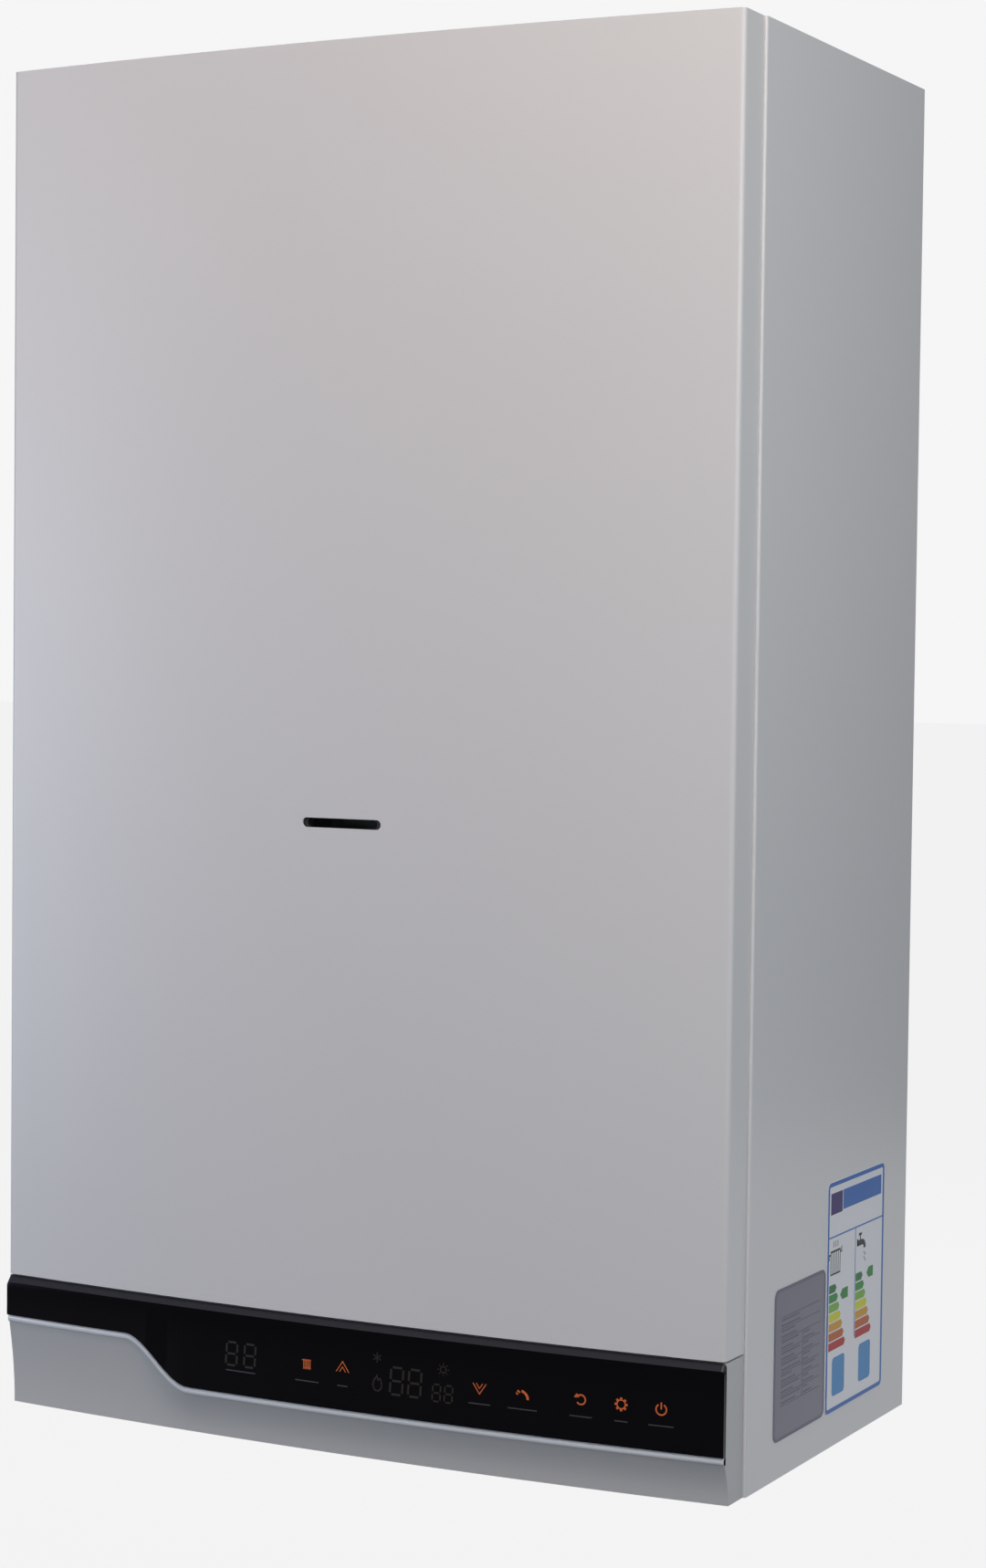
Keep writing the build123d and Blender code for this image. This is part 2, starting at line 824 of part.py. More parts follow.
# Sealed chamber: a folded box open to the front, its lip takes the lid's screws
chamber_top = up(top_sheet_height)
screw_x = half_chamber - lid_screw_inset
screw_heights = (chamber_floor + lid_screw_inset, (chamber_floor + top_sheet_height) / 2,
                 top_sheet_height - lid_screw_inset)
lid_screws = [(side * screw_x, up(height)) for side in (-1, 1) for height in screw_heights]
chamber_passes = [(-riser_side, riser_depth, copper_radius), (riser_side, riser_depth, copper_radius),
                  (riser_x, manifold_front - manifold_square / 2, riser_radius)]
with BuildPart() as sealed_chamber:
    block((-half_chamber, half_chamber), (-chamber_front, -chamber_back), (up(chamber_floor), chamber_top))
    block((sheet - half_chamber, half_chamber - sheet), (-chamber_front + sheet, -chamber_back - sheet),
          (up(chamber_floor) + sheet, chamber_top - sheet), mode=Mode.SUBTRACT)
    block((chamber_lip - half_chamber, half_chamber - chamber_lip),
          (-chamber_front - overrun, overrun - chamber_front),
          (up(chamber_floor) + chamber_lip, chamber_top - chamber_lip), mode=Mode.SUBTRACT)
    rod((*flue_centre, chamber_top + overrun), (0, 0, -1), collar_radius - collar_wall, 2 * overrun,
        mode=Mode.SUBTRACT)
    with Locations((*flue_centre, chamber_top)):
        with PolarLocations(adapter_screw_circle, adapter_screw_count, start_angle=adapter_screw_turn):
            Hole(screw_shank + screw_hole_gap, depth=overrun)
    for x, depth, radius in chamber_passes:
        rod((x, -depth, up(chamber_floor) - overrun), (0, 0, 1), radius + pass_gap, 2 * overrun,
            mode=Mode.SUBTRACT)
    for x, z in lid_screws:
        rod((x, -chamber_front - overrun, z), (0, 1, 0), screw_shank + screw_hole_gap, 2 * overrun,
            mode=Mode.SUBTRACT)
save(sealed_chamber, "sealed_chamber")

# Chamber lid with a pressed field and the frame of its sight glass
lid_front = -chamber_front - lid_sheet
half_lid = half_chamber + lid_overlap
with BuildPart() as chamber_cover:
    block((-half_lid, half_lid), (lid_front, -chamber_front), (up(chamber_floor) - lid_overlap, chamber_top))
    press_low = up(chamber_floor) + lid_press
    block((lid_press - half_lid, half_lid - lid_press), (lid_front - lid_press_deep, lid_front),
          (press_low, chamber_top - lid_press))
    block((lid_press + lid_sheet - half_lid, half_lid - lid_press - lid_sheet),
          (lid_front - lid_press_deep + lid_sheet, overrun - chamber_front),
          (press_low + lid_sheet, chamber_top - lid_press - lid_sheet), mode=Mode.SUBTRACT)
    press_face = lid_front - lid_press_deep
    half_frame = window_width / 2 + window_frame
    frame_tall = window_tall / 2 + window_frame
    block((-half_frame, half_frame), (press_face - window_frame_deep, press_face),
          (up(slot_height) - frame_tall, up(slot_height) + frame_tall))
    glass_half = window_width / 2 + window_frame / 2
    glass_tall = window_tall / 2 + window_frame / 2
    block((-glass_half, glass_half), (press_face - window_glass - touch_gap, press_face),
          (up(slot_height) - glass_tall, up(slot_height) + glass_tall), mode=Mode.SUBTRACT)
    block((-window_width / 2, window_width / 2), (press_face - 2 * overrun, overrun - chamber_front),
          (up(slot_height) - window_tall / 2, up(slot_height) + window_tall / 2), mode=Mode.SUBTRACT)
    for x, z in lid_screws:
        rod((x, -chamber_front + overrun, z), (0, -1, 0), screw_shank + screw_hole_gap, 2 * overrun,
            mode=Mode.SUBTRACT)
save(chamber_cover, "chamber_cover")

# Sight glass in the lid, in line with the slot in the front cover
with BuildPart() as chamber_glass:
    block((touch_gap - glass_half, glass_half - touch_gap), (press_face - window_glass, press_face),
          (up(slot_height) - glass_tall + touch_gap, up(slot_height) + glass_tall - touch_gap))
save(chamber_glass, "chamber_glass")

# Screws: six in the chamber lid and four in the flue adapter
with BuildPart() as case_screws:
    for x, z in lid_screws:
        rod((x, lid_front, z), (0, 1, 0), screw_shank, screw_length)
        rod((x, lid_front, z), (0, -1, 0), screw_head, screw_head_tall)
    screw_seat = up(case_height) + adapter_flange_thick
    for turn in range(adapter_screw_count):
        angle = math.radians(adapter_screw_turn + 360 * turn / adapter_screw_count)
        x = flue_centre[0] + adapter_screw_circle * math.cos(angle)
        y = flue_centre[1] + adapter_screw_circle * math.sin(angle)
        rod((x, y, screw_seat), (0, 0, -1), screw_shank, screw_length)
        rod((x, y, screw_seat), (0, 0, 1), screw_head, screw_head_tall)
save(case_screws, "case_screws")

# Flue adapter: the inner bore takes the flue pipe, the air comes in round it
with BuildPart() as flue_adapter:
    tube((*flue_centre, up(case_height)), (0, 0, 1), adapter_flange, collar_radius - collar_wall,
         adapter_flange_thick)
    tube((*flue_centre, up(case_height)), (0, 0, 1), collar_radius, collar_radius - collar_wall, collar_tall)
    with BuildSketch(Plane.XY.offset(up(case_height))):
        with Locations(flue_centre):
            with PolarLocations((flue_bore + collar_radius) / 2, rib_count, start_angle=90):
                Rectangle(collar_radius - flue_bore - flue_wall, rib_thick)
    extrude(amount=adapter_flange_thick)
    rod((*flue_centre, up(case_height) - adapter_tube_drop), (0, 0, 1), flue_bore + flue_wall,
        adapter_tube_drop + collar_tall)
    rod((*flue_centre, up(case_height) - adapter_tube_drop - overrun), (0, 0, 1), flue_bore,
        adapter_tube_drop + collar_tall + 2 * overrun, mode=Mode.SUBTRACT)
    with Locations((*flue_centre, up(case_height) + adapter_flange_thick)):
        with PolarLocations(adapter_screw_circle, adapter_screw_count, start_angle=adapter_screw_turn):
            Hole(screw_shank + screw_hole_gap, depth=overrun)
save(flue_adapter, "flue_adapter")

# Combustion chamber: steel walls open at the bottom and top, held to the back by two tabs
half_fire = fire_width / 2
view_hole = (up(slot_height) - window_tall / 2, up(slot_height) + window_tall / 2)
with BuildPart() as combustion_chamber:
    block((-half_fire, half_fire), (-fire_front, -fire_back), (up(fire_bottom), up(fire_top)))
    block((sheet - half_fire, half_fire - sheet), (sheet - fire_front, -fire_back - sheet),
          (up(fire_bottom) - overrun, up(fire_top) + overrun), mode=Mode.SUBTRACT)
    block((-window_width / 2, window_width / 2), (-fire_front - overrun, overrun - fire_front), view_hole,
          mode=Mode.SUBTRACT)
    for side in (-1, 1):
        tab_x = side * (half_fire - bracket_tab)
        block((tab_x - bracket_tab / 2, tab_x + bracket_tab / 2), (-fire_back, -chamber_back - sheet),
              (up(fire_top) - bracket_tab, up(fire_top)))
    for x in electrode_places:
        rod((x, -fire_front - overrun, up(electrode_height)), (0, 1, 0), electrode_radius + line_gap,
            2 * overrun, mode=Mode.SUBTRACT)
save(combustion_chamber, "combustion_chamber")

# Ceramic fibre boards lining the combustion chamber
with BuildPart() as ceramic_boards:
    inner_half = half_fire - sheet
    block((-inner_half, inner_half), (sheet - fire_front, -fire_back - sheet),
          (up(fire_bottom), up(fire_top)))
    block((ceramic_thick - inner_half, inner_half - ceramic_thick),
          (sheet + ceramic_thick - fire_front, -fire_back - sheet - ceramic_thick),
          (up(fire_bottom) - overrun, up(fire_top) + overrun), mode=Mode.SUBTRACT)
    block((-window_width / 2, window_width / 2), (-fire_front - overrun, 2 * ceramic_thick - fire_front),
          view_hole, mode=Mode.SUBTRACT)
    for x in electrode_places:
        rod((x, -fire_front, up(electrode_height)), (0, 1, 0), electrode_radius + line_gap,
            2 * ceramic_thick, mode=Mode.SUBTRACT)
save(ceramic_boards, "ceramic_boards")

# Heat exchanger: copper fins on five water tubes, with a header at each end
exchanger_low = up(fire_top)
exchanger_high = up(fire_top + exchanger_tall)
half_exchanger = exchanger_width / 2
fire_middle = -(fire_front + fire_back) / 2
with BuildPart() as heat_exchanger:
    for side in (-1, 1):
        block((side * half_exchanger, side * (half_exchanger - exchanger_sheet)), (-fire_front, -fire_back),
              (exchanger_low, exchanger_high))
        block((side * half_exchanger, side * (half_exchanger + header_deep)),
              (fire_middle - tube_rows * tube_pitch / 2, fire_middle + tube_rows * tube_pitch / 2),
              (exchanger_low + header_deep, exchanger_low + 3 * header_deep))
    for y in (-fire_front, -fire_back - exchanger_sheet):
        block((-half_exchanger, half_exchanger), (y, y + exchanger_sheet), (exchanger_low, exchanger_high))
    for count in range(fin_count):
        x = (count - (fin_count - 1) / 2) * fin_pitch
        block((x - fin_thick / 2, x + fin_thick / 2), (-fire_front, -fire_back),
              (exchanger_low + header_deep / 2, exchanger_high - header_deep))
    for row in range(tube_rows):
        y = fire_middle + (row - (tube_rows - 1) / 2) * tube_pitch
        rod((-half_exchanger, y, exchanger_low + 2 * header_deep), (1, 0, 0), water_tube, exchanger_width)
save(heat_exchanger, "heat_exchanger")

# Burner: slotted steel blades between two rails
blade_top = up(fire_bottom)
with BuildPart() as burner:
    half_burner = burner_width / 2
    for y in (-blade_front, -blade_back - rail_thick):
        block((-half_burner, half_burner), (y, y + rail_thick), (up(burner_bottom), blade_top - rail_thick))
    for count in range(blade_count):
        x = (count - (blade_count - 1) / 2) * blade_pitch
        with BuildSketch(Plane.XZ.offset(blade_back)):
            with BuildLine():
                Polyline((x - blade_thick / 2, up(burner_bottom)), (x + blade_thick / 2, up(burner_bottom)),
                         (x + blade_thick / 2, blade_top - blade_thick), (x + blade_thick / 4, blade_top),
                         (x - blade_thick / 4, blade_top), (x - blade_thick / 2, blade_top - blade_thick),
                         close=True)
            make_face()
        extrude(amount=blade_front - blade_back)
    for side in (-1, 1):
        block((side * half_burner, side * half_fire), (-blade_front, -blade_back),
              (blade_top - rail_thick, blade_top))
        block((side * half_burner, side * (half_burner + rail_thick)), (-blade_front, -blade_back),
              (up(burner_bottom), blade_top))
save(burner, "burner")

# Gas manifold: a square bar with one injector for each blade, fed by the riser from the gas valve
manifold_y = -manifold_front + manifold_square / 2
with BuildPart() as gas_manifold:
    block((-burner_width / 2, burner_width / 2), (-manifold_front, manifold_square - manifold_front),
          (up(manifold_height), up(manifold_height) + manifold_square))
    for count in range(blade_count):
        x = (count - (blade_count - 1) / 2) * blade_pitch
        rod((x, manifold_square - manifold_front, up(manifold_height) + manifold_square / 2), (0, 1, 0),
            injector_radius, manifold_front - manifold_square - blade_front - touch_gap)
    tube((riser_x, manifold_y, up(valve_top)), (0, 0, 1), riser_radius, riser_radius - copper_wall,
         manifold_height - valve_top)
    for height in (valve_top, manifold_height - thin_bend):
        tube((riser_x, manifold_y, up(height)), (0, 0, 1), riser_radius + nut_over,
             riser_radius - copper_wall, nut_tall)
save(gas_manifold, "gas_manifold")

# Electrodes: two igniters and the flame sensor, each a wire in a ceramic sleeve
with BuildPart() as electrodes:
    for x in electrode_places:
        place = (x, -fire_front, up(electrode_height))
        rod(place, (0, -1, 0), electrode_flange, electrode_flange_thick)
        rod(place, (0, -1, 0), electrode_radius, ceramic_thick)
        rod(place, (0, 1, 0), electrode_radius, ceramic_thick + electrode_flange)
        rod(place, (0, 1, 0), electrode_wire, 2 * ceramic_thick + 2 * electrode_flange)
save(electrodes, "electrodes")

# Flue hood: gathers the flue gas over the fins and leads it to the fan's inlet
hood_box_front = hood_back + hood_box_deep
with BuildPart() as flue_hood:
    for inset, mode in ((0, Mode.ADD), (sheet, Mode.SUBTRACT)):
        with BuildSketch(Plane.XY.offset(exchanger_high)) as hood_foot:
            with Locations((0, fire_middle)):
                Rectangle(exchanger_width - 2 * inset, fire_front - fire_back - 2 * inset)
        with BuildSketch(Plane.XY.offset(up(hood_top_height))) as hood_neck:
            with Locations((0, -(hood_back + hood_box_front) / 2)):
                Rectangle(hood_box_width - 2 * inset, hood_box_deep - 2 * inset)
        loft([hood_foot.sketch, hood_neck.sketch], mode=mode)
        half = hood_box_width / 2 - inset
        block((-half, half), (inset - hood_box_front, -hood_back - inset),
              (up(hood_top_height), up(hood_box_top) - inset), mode=mode)
    rod((0, -hood_box_front - overrun, up(fan_height)), (0, 1, 0), fan_inlet_radius, 2 * overrun,
        mode=Mode.SUBTRACT)
save(flue_hood, "flue_hood")

# Fan housing: a scroll whose outlet rises into the flue adapter
scroll_back = -hood_box_front
scroll_front = scroll_back - scroll_deep
scroll_middle = (scroll_back + scroll_front) / 2
adapter_foot = case_height - adapter_tube_drop
collar_low = adapter_foot - outlet_collar_tall / 2
duct_half = flue_bore - collar_over
with BuildPart() as fan_housing:
    rod((0, scroll_back, up(fan_height)), (0, -1, 0), fan_radius, scroll_deep)
    block((-duct_half, duct_half), (scroll_front, scroll_back), (up(fan_height), up(collar_low)))
    rod((*flue_centre, up(collar_low)), (0, 0, 1), flue_bore + flue_wall + fit_gap + pass_gap,
        outlet_collar_tall)
    rod((0, scroll_back - scroll_sheet, up(fan_height)), (0, -1, 0), fan_radius - scroll_sheet,
        scroll_deep - 2 * scroll_sheet, mode=Mode.SUBTRACT)
    block((scroll_sheet - duct_half, duct_half - scroll_sheet),
          (scroll_front + scroll_sheet, scroll_back - scroll_sheet),
          (up(fan_height), up(collar_low) + overrun), mode=Mode.SUBTRACT)
    rod((*flue_centre, up(adapter_foot) - overrun), (0, 0, 1), flue_bore + flue_wall + fit_gap,
        2 * outlet_collar_tall, mode=Mode.SUBTRACT)
    rod((0, scroll_back + overrun, up(fan_height)), (0, -1, 0), fan_inlet_radius, overrun + 2 * scroll_sheet,
        mode=Mode.SUBTRACT)
    rod((0, scroll_front - overrun, up(fan_height)), (0, 1, 0), fan_shaft_hole, 2 * overrun,
        mode=Mode.SUBTRACT)
save(fan_housing, "fan_housing")

# Fan wheel: a back disc, forward-curved blades and a ring, on a shaft that runs in the motor
wheel_front = scroll_middle - wheel_deep / 2
with BuildPart() as fan_impeller:
    rod((0, wheel_front, up(fan_height)), (0, 1, 0), wheel_radius, wheel_sheet)
    tube((0, wheel_front + wheel_deep - wheel_sheet, up(fan_height)), (0, 1, 0), wheel_radius,
         wheel_radius - wheel_blade_long, wheel_sheet)
    with BuildSketch(upright(0, wheel_front, up(fan_height), 1)):
        with PolarLocations(wheel_radius - wheel_blade_long / 2, wheel_blades):
            Rectangle(wheel_blade_long, wheel_blade_thick, rotation=wheel_blade_turn)
    extrude(amount=wheel_deep)
    rod((0, wheel_front, up(fan_height)), (0, -1, 0), fan_shaft_radius,
        wheel_front - scroll_front + motor_gap + motor_deep - 2 * shaft_end_gap)
    rod((0, wheel_front, up(fan_height)), (0, 1, 0), fan_shaft_hole, wheel_deep / 2)
save(fan_impeller, "fan_impeller")

# Fan motor, on three feet in front of the scroll
with BuildPart() as fan_motor:
    rod((0, scroll_front - motor_gap, up(fan_height)), (0, -1, 0), motor_radius, motor_deep)
    for turn in range(motor_foot_count):
        angle = math.radians(90 + 360 * turn / motor_foot_count)
        foot_x = motor_foot_circle * math.cos(angle)
        foot_z = up(fan_height) + motor_foot_circle * math.sin(angle)
        rod((foot_x, scroll_front, foot_z), (0, -1, 0), motor_foot, motor_gap + motor_foot)
    rod((0, scroll_front + overrun, up(fan_height)), (0, -1, 0), fan_shaft_radius + fit_gap,
        overrun + motor_gap + motor_deep - shaft_end_gap, mode=Mode.SUBTRACT)
save(fan_motor, "fan_motor")

# Air pressure switch on the chamber's back wall
switch_y = -chamber_back - sheet
switch_nipple_y = switch_y - switch_thick / 2
nipple_low = up(switch_height) - switch_radius - nipple_long + nipple_radius
with BuildPart() as pressure_switch:
    rod((switch_x, switch_y, up(switch_height)), (0, -1, 0), switch_radius, switch_thick)
    fillet(pressure_switch.edges().group_by(Axis.Y)[0], switch_edge)
    for side in (-1, 1):
        x = switch_x + side * sense_spread / 2
        rod((x, switch_nipple_y, up(switch_height) - switch_radius + nipple_radius), (0, 0, -1),
            nipple_radius, nipple_long)
save(pressure_switch, "pressure_switch")

# Sensing tubes from the switch to the fan housing
with BuildPart() as sensing_tubes:
    for side, drop in ((-1, sense_bend), (1, 0)):
        x = switch_x + side * sense_spread / 2
        low = nipple_low - 2 * sense_bend - drop
        fall = up(fan_height) - low - sense_tube
        reach = -math.sqrt(fan_radius**2 - fall**2) - touch_gap
        bent_tube([(x, switch_nipple_y, nipple_low), (x, switch_nipple_y, low),
                   (x + 3 * sense_bend, scroll_middle, low), (reach, scroll_middle, low)],
                  sense_bend, sense_tube, nipple_radius / 2)
save(sensing_tubes, "sensing_tubes")

# Expansion vessel: two flat pressed shells joined at a rim, hollow, on four pads
vessel_middle = up((vessel_bottom + vessel_top) / 2)
vessel_tall = vessel_top - vessel_bottom


def vessel_shape(inset):
    """The rounded body of the vessel, drawn in from the outside by a distance."""
    with BuildPart() as shape:
        with BuildSketch(upright(0, -vessel_back - inset, vessel_middle)):
            RectangleRounded(vessel_width - 2 * inset, vessel_tall - 2 * inset, vessel_corner - inset)
        extrude(amount=vessel_thick - 2 * inset)
        fillet(shape.edges().group_by(Axis.Y)[0] + shape.edges().group_by(Axis.Y)[-1], vessel_round - inset)
    return shape.part


with BuildPart() as expansion_vessel:
    add(vessel_shape(0))
    rim_y = -vessel_back - vessel_thick / 2 + vessel_rim_thick / 2
    with BuildSketch(upright(0, rim_y, vessel_middle)):
        RectangleRounded(vessel_width + 2 * vessel_rim, vessel_tall + 2 * vessel_rim,
                         vessel_corner + vessel_rim)
    extrude(amount=vessel_rim_thick)
    pad_x = vessel_width / 2 - vessel_pad_inset
    for x in (-pad_x, pad_x):
        for height in (vessel_bottom + vessel_pad_inset, vessel_top - vessel_pad_inset):
            rod((x, -back_inset - frame_sheet, up(height)), (0, -1, 0), vessel_pad,
                vessel_back - back_inset - frame_sheet + vessel_pad_sunk)
    rod((vessel_pad_inset, rim_y, up(vessel_bottom) + vessel_rim), (0, 0, -1), hose_radius, 2 * vessel_rim)
    add(vessel_shape(vessel_wall), mode=Mode.SUBTRACT)
    rod((vessel_pad_inset, rim_y, up(vessel_bottom) + vessel_rim), (0, 0, -1), hose_radius / 2,
        2 * vessel_rim + overrun, mode=Mode.SUBTRACT)
save(expansion_vessel, "expansion_vessel")

# Diverter block at the left: the heating flow leaves below it, the spool slides across it
with BuildPart() as diverter_block:
    block((diverter_left, diverter_right), (-diverter_front, -block_back),
          (up(block_bottom), up(diverter_top)))
    fillet(diverter_block.edges().filter_by(Axis.Z), block_round)
    threaded_end(flow_x, wide_thread, wide_bore)
    rod((flow_x, -connection_depth, up(plate_top_height)), (0, 0, 1), wide_thread,
        block_bottom - plate_top_height)
    rod((flow_x, -connection_depth, up(-connection_drop) - overrun), (0, 0, 1), wide_bore,
        connection_drop + spool_height + overrun, mode=Mode.SUBTRACT)
    rod((flow_x, -connection_depth, up(spool_height)), (0, 0, 1), spool_radius + spool_bore_gap,
        spool_long + spool_stroke, mode=Mode.SUBTRACT)
    rod((flow_x, -connection_depth, up(spool_height)), (0, 0, 1), spool_stem + spool_bore_gap,
        diverter_top - spool_height + overrun, mode=Mode.SUBTRACT)
save(diverter_block, "diverter_block")

# Diverter spool: two lands on a stem
land = spool_long / 3
with BuildPart() as diverter_spool:
    for start in (0, 2 * land):
        rod((flow_x, -connection_depth, up(spool_height) + start), (0, 0, 1), spool_radius, land)
    rod((flow_x, -connection_depth, up(spool_height)), (0, 0, 1), spool_stem,
        diverter_top - spool_height + spool_stroke)
save(diverter_spool, "diverter_spool")

# Diverter motor on the block, hollow over the stem's travel
with BuildPart() as diverter_motor:
    half = diverter_motor_width / 2
    block((flow_x - half, flow_x + half), (-connection_depth - half, half - connection_depth),
          (up(diverter_top), up(diverter_top + diverter_motor_tall)))
    fillet(diverter_motor.edges().filter_by(Axis.Z), block_round)
    fillet(diverter_motor.edges().group_by(Axis.Z)[-1], block_round / 2)
    rod((flow_x, -connection_depth, up(diverter_top) - overrun), (0, 0, 1), spool_stem + spool_bore_gap,
        overrun + 3 * spool_stroke, mode=Mode.SUBTRACT)
save(diverter_motor, "diverter_motor")

# Return block at the right: the heating return enters below it and the pump stands on it
with BuildPart() as return_block:
    block((return_left, return_right), (-return_front, -block_back), (up(block_bottom), up(return_top)))
    fillet(return_block.edges().filter_by(Axis.Z), block_round)
    threaded_end(return_x, wide_thread, wide_bore)
    rod((return_x, -connection_depth, up(plate_top_height)), (0, 0, 1), wide_thread,
        block_bottom - plate_top_height)
    rod((return_x, -connection_depth, up(-connection_drop) - overrun), (0, 0, 1), wide_bore,
        connection_drop + overrun + (block_bottom + return_top) / 2, mode=Mode.SUBTRACT)
    rod((return_right, -connection_depth, up(relief_height)), (1, 0, 0), relief_drain,
        relief_x - relief_radius - return_right)
save(return_block, "return_block")

# Plate heat exchanger for hot water: a brazed pack with a port to each block
with BuildPart() as plate_heat_exchanger:
    half_pack = plate_pack_width / 2
    pack_tall = plate_pack_top - plate_pack_bottom
    block((-half_pack, half_pack), (-plate_pack_front, -plate_pack_back),
          (up(plate_pack_bottom), up(plate_pack_top)))
    fillet(plate_heat_exchanger.edges().filter_by(Axis.Y), 2 * block_round)
    grooves = int((plate_pack_front - plate_pack_back) / pack_plate_pitch) - 1
    for count in range(grooves):
        y = -plate_pack_back - (count + 1) * pack_plate_pitch
        with BuildSketch(upright(0, y, up((plate_pack_bottom + plate_pack_top) / 2))):
            Rectangle(plate_pack_width + overrun, pack_tall + overrun)
            RectangleRounded(plate_pack_width - 2 * pack_groove, pack_tall - 2 * pack_groove, 2 * block_round,
                             mode=Mode.SUBTRACT)
        extrude(amount=pack_groove, mode=Mode.SUBTRACT)
    for x in pack_port_places:
        rod((x, -plate_pack_front, up(hot_port_height)), (0, -1, 0), pack_port, block_back - plate_pack_front)
save(plate_heat_exchanger, "plate_heat_exchanger")

# Copper pipe from the heat exchanger down to the diverter block
pipe_join = exchanger_low + 2 * header_deep
header_face = half_exchanger + header_deep
flow_end = (diverter_left + copper_bend / 2, -diverter_front + copper_radius + block_round)
with BuildPart() as flow_pipe:
    bent_tube([(-header_face, -riser_depth, pipe_join), (-riser_side, -riser_depth, pipe_join),
               (-riser_side, -riser_depth, up(diverter_top) + 4 * copper_bend),
               (*flow_end, up(diverter_top) + 2 * copper_bend), (*flow_end, up(diverter_top))],
              [riser_top_bend, copper_bend, copper_bend], copper_radius, copper_radius - copper_wall)
save(flow_pipe, "flow_pipe")

# Copper pipe from the pump up to the heat exchanger
volute_middle = -(pump_back + volute_deep / 2)
outlet_top = up(pump_height + volute_radius)
with BuildPart() as return_pipe:
    bent_tube([(pump_outlet_x, volute_middle, outlet_top),
               (pump_outlet_x, volute_middle, outlet_top + copper_bend),
               (riser_side, -riser_depth, outlet_top + 2 * copper_bend),
               (riser_side, -riser_depth, pipe_join), (header_face, -riser_depth, pipe_join)],
              [pump_low_bend, pump_high_bend, riser_top_bend], copper_radius, copper_radius - copper_wall)
save(return_pipe, "return_pipe")

# Hot water pipe from the plate heat exchanger down to its threaded end
with BuildPart() as hot_water_pipe:
    bent_tube([(hot_x, -plate_pack_front, up(hot_port_height)),
               (hot_x, -connection_depth, up(hot_port_height)),
               (hot_x, -connection_depth, up(-connection_drop))],
              thin_bend, thin_copper, thin_copper - copper_wall)
    threaded_end(hot_x, small_thread, thin_copper - copper_wall)
save(hot_water_pipe, "hot_water_pipe")

# Cold water connector below the flow sensor
with BuildPart() as cold_water_pipe:
    threaded_end(cold_x, small_thread, small_bore)
    tube((cold_x, -connection_depth, up(plate_top_height)), (0, 0, 1), small_thread, small_bore,
         sensor_bottom - plate_top_height)
save(cold_water_pipe, "cold_water_pipe")

# Flow sensor: a plastic housing, its outlet runs to the plate heat exchanger
sensor_top = up(sensor_bottom + sensor_tall)
web_low = up(sensor_bottom) + sensor_wall
with BuildPart() as flow_sensor:
    rod((cold_x, -connection_depth, up(sensor_bottom)), (0, 0, 1), sensor_radius, sensor_tall)
    rod((cold_x, -connection_depth, up(hot_port_height)), (0, 1, 0), thin_copper,
        connection_depth - plate_pack_front)
    rod((cold_x, -connection_depth, up(sensor_bottom) - overrun), (0, 0, 1), small_bore,
        overrun + sensor_wall, mode=Mode.SUBTRACT)
    rod((cold_x, -connection_depth, web_low), (0, 0, 1), sensor_radius - sensor_wall,
        sensor_tall - 2 * sensor_wall, mode=Mode.SUBTRACT)
    for z in (web_low, web_low + sensor_web + turbine_tall + 2 * touch_gap):
        block((cold_x - sensor_radius + sensor_wall, cold_x + sensor_radius - sensor_wall),
              (-connection_depth - turbine_hub, turbine_hub - connection_depth), (z, z + sensor_web))
        rod((cold_x, -connection_depth, z - touch_gap), (0, 0, 1), turbine_pin + fit_gap,
            sensor_web + 2 * touch_gap, mode=Mode.SUBTRACT)
    plug_y = -connection_depth - sensor_radius
    block((cold_x - sensor_radius, cold_x + sensor_radius), (plug_y - sensor_wall, plug_y + sensor_wall),
          (sensor_top - sensor_radius - sensor_wall, sensor_top - sensor_wall))
save(flow_sensor, "flow_sensor")

# Flow turbine: blades on a pin between the two webs
turbine_low = web_low + sensor_web + touch_gap
with BuildPart() as flow_turbine:
    rod((cold_x, -connection_depth, turbine_low), (0, 0, 1), turbine_hub, turbine_tall)
    rod((cold_x, -connection_depth, turbine_low - sensor_web), (0, 0, 1), turbine_pin,
        turbine_tall + 2 * sensor_web)
    with BuildSketch(Plane.XY.offset(turbine_low)):
        with Locations((cold_x, -connection_depth)):
            with PolarLocations(0, turbine_blades // 2, angular_range=180):
                Rectangle(2 * turbine_radius, turbine_blade_thick)
    extrude(amount=turbine_tall)
save(flow_turbine, "flow_turbine")

# Pump housing: an iron volute standing on the return block
volute_front = -(pump_back + volute_deep)
with BuildPart() as pump_housing:
    rod((pump_x, -pump_back, up(pump_height)), (0, -1, 0), volute_radius, volute_deep)
    rod((pump_x, volute_middle, up(return_top)), (0, 0, 1), neck_radius, pump_height - return_top)
    rod((pump_outlet_x, volute_middle, up(pump_height)), (0, 0, 1), copper_radius + collar_over,
        volute_radius)
    rod((vent_x, -vent_depth, up(pump_height)), (0, 0, 1), vent_radius - collar_over, volute_radius)
    rod((pump_x, -pump_back - volute_wall, up(pump_height)), (0, -1, 0), volute_radius - volute_wall,
        volute_deep, mode=Mode.SUBTRACT)
save(pump_housing, "pump_housing")

